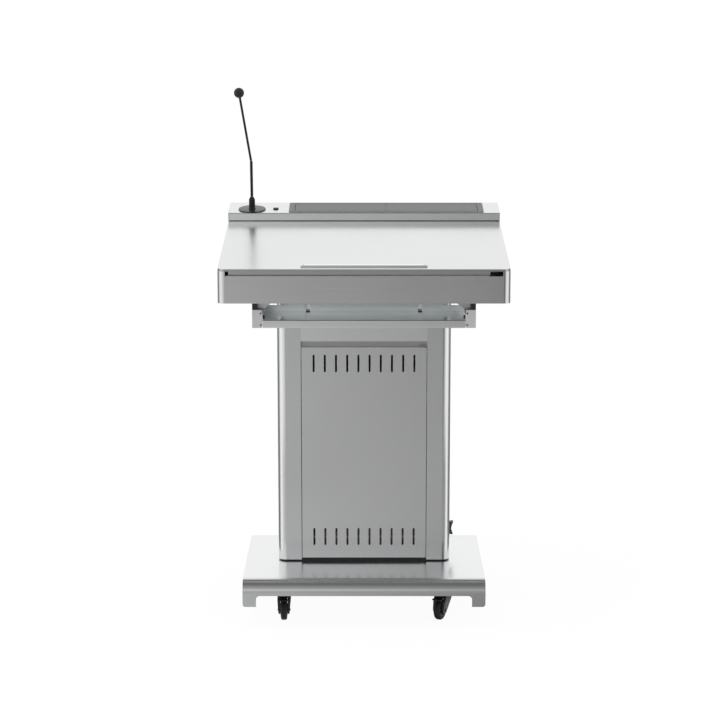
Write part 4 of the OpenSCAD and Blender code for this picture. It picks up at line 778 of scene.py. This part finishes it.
piece("notch_plugs", together(feet), finishes["black_plastic"], "tray")
lip_h, upstand_h = 16.5, 29.0
lip_middle, lip_top, upstand_top = caps_low + lip_h / 2, caps_low + lip_h, caps_low + upstand_h
# painted light: the lip facing takes the lighter polished steel
facing = rounded_bar(2.6, lip_h + 2.4, -lip_end, lip_end, 0.2)
facing = placed(facing, move(0, tray_front + 0.3, lip_middle + 1.3))
piece("lip_facing", facing, lip_steel_painted_light, "tray")
strip = rounded_bar(4.2, 3.4, -lip_end, lip_end, 0.4)
strip = placed(strip, move(0, tray_front + 2.1, lip_top + 3.4))
piece("lip_strip", strip, finishes["strip_rubber"], "tray")
near_notch, past_notch = notch_x - notch_half, notch_x + notch_half
hems = [placed(rounded_bar(3.0, 9.6, *ends, 0.2), move(0, tray_back - 1, upstand_top + 1.8))
        for ends in ((-hem_end, -past_notch), (-near_notch, near_notch), (past_notch, hem_end))]
piece("upstand_hem", together(hems), tray_steel_painted_light, "tray")

# %% [markdown]
# ## Where the lid closes
# A grey strip lies behind the fascia's top edge, under the lid's flange: painted shade, which
# makes the slot under the lid show as a dark grey band. On the lid lies the paper stop, a flat
# bar with rounded edges, held by a dome-headed screw at each end.

# %% Lay the strip and the paper stop
fascia_top, slot_left, slot_right = 1015.0, -378.0, 343.0
# painted shade: a grey strip that makes the slot under the lid read as a dark grey band
slot_band = rounded_bar(5.0, 5.0, slot_left, slot_right, 0.35)
piece("slot_shade_strip", placed(slot_band, move(0, desk_front + 4.7, fascia_top - 1.2)), finishes["slot_shade_fill"],
      "stand")
stop_l, stop_near, stop_far, stop_h = 348.0, 23.5, 38.0, 4.6
# painted light: the bar and its screws take the lip's lighter steel
stop = rounded_bar(stop_far - stop_near, stop_h, -stop_l / 2, stop_l / 2, 0.25)
stop_seat = on_slope @ move(0, (stop_near + stop_far) / 2, stop_h / 2)
piece("paper_stop_bar", placed(stop, stop_seat), lip_steel_painted_light, "lid", ["paper_stop"])
button = [(2.8, 0), (2.8, 0.2)] + arc((0, -3.2), 4.4, 50, 88, 6)
button_x = stop_l / 2 - 7
buttons = [placed(turned(button, 32), stop_seat @ move(side * button_x, 0, stop_h / 2)) for side in (-1, 1)]
piece("stop_screws", together(buttons), lip_steel_painted_light, "lid")
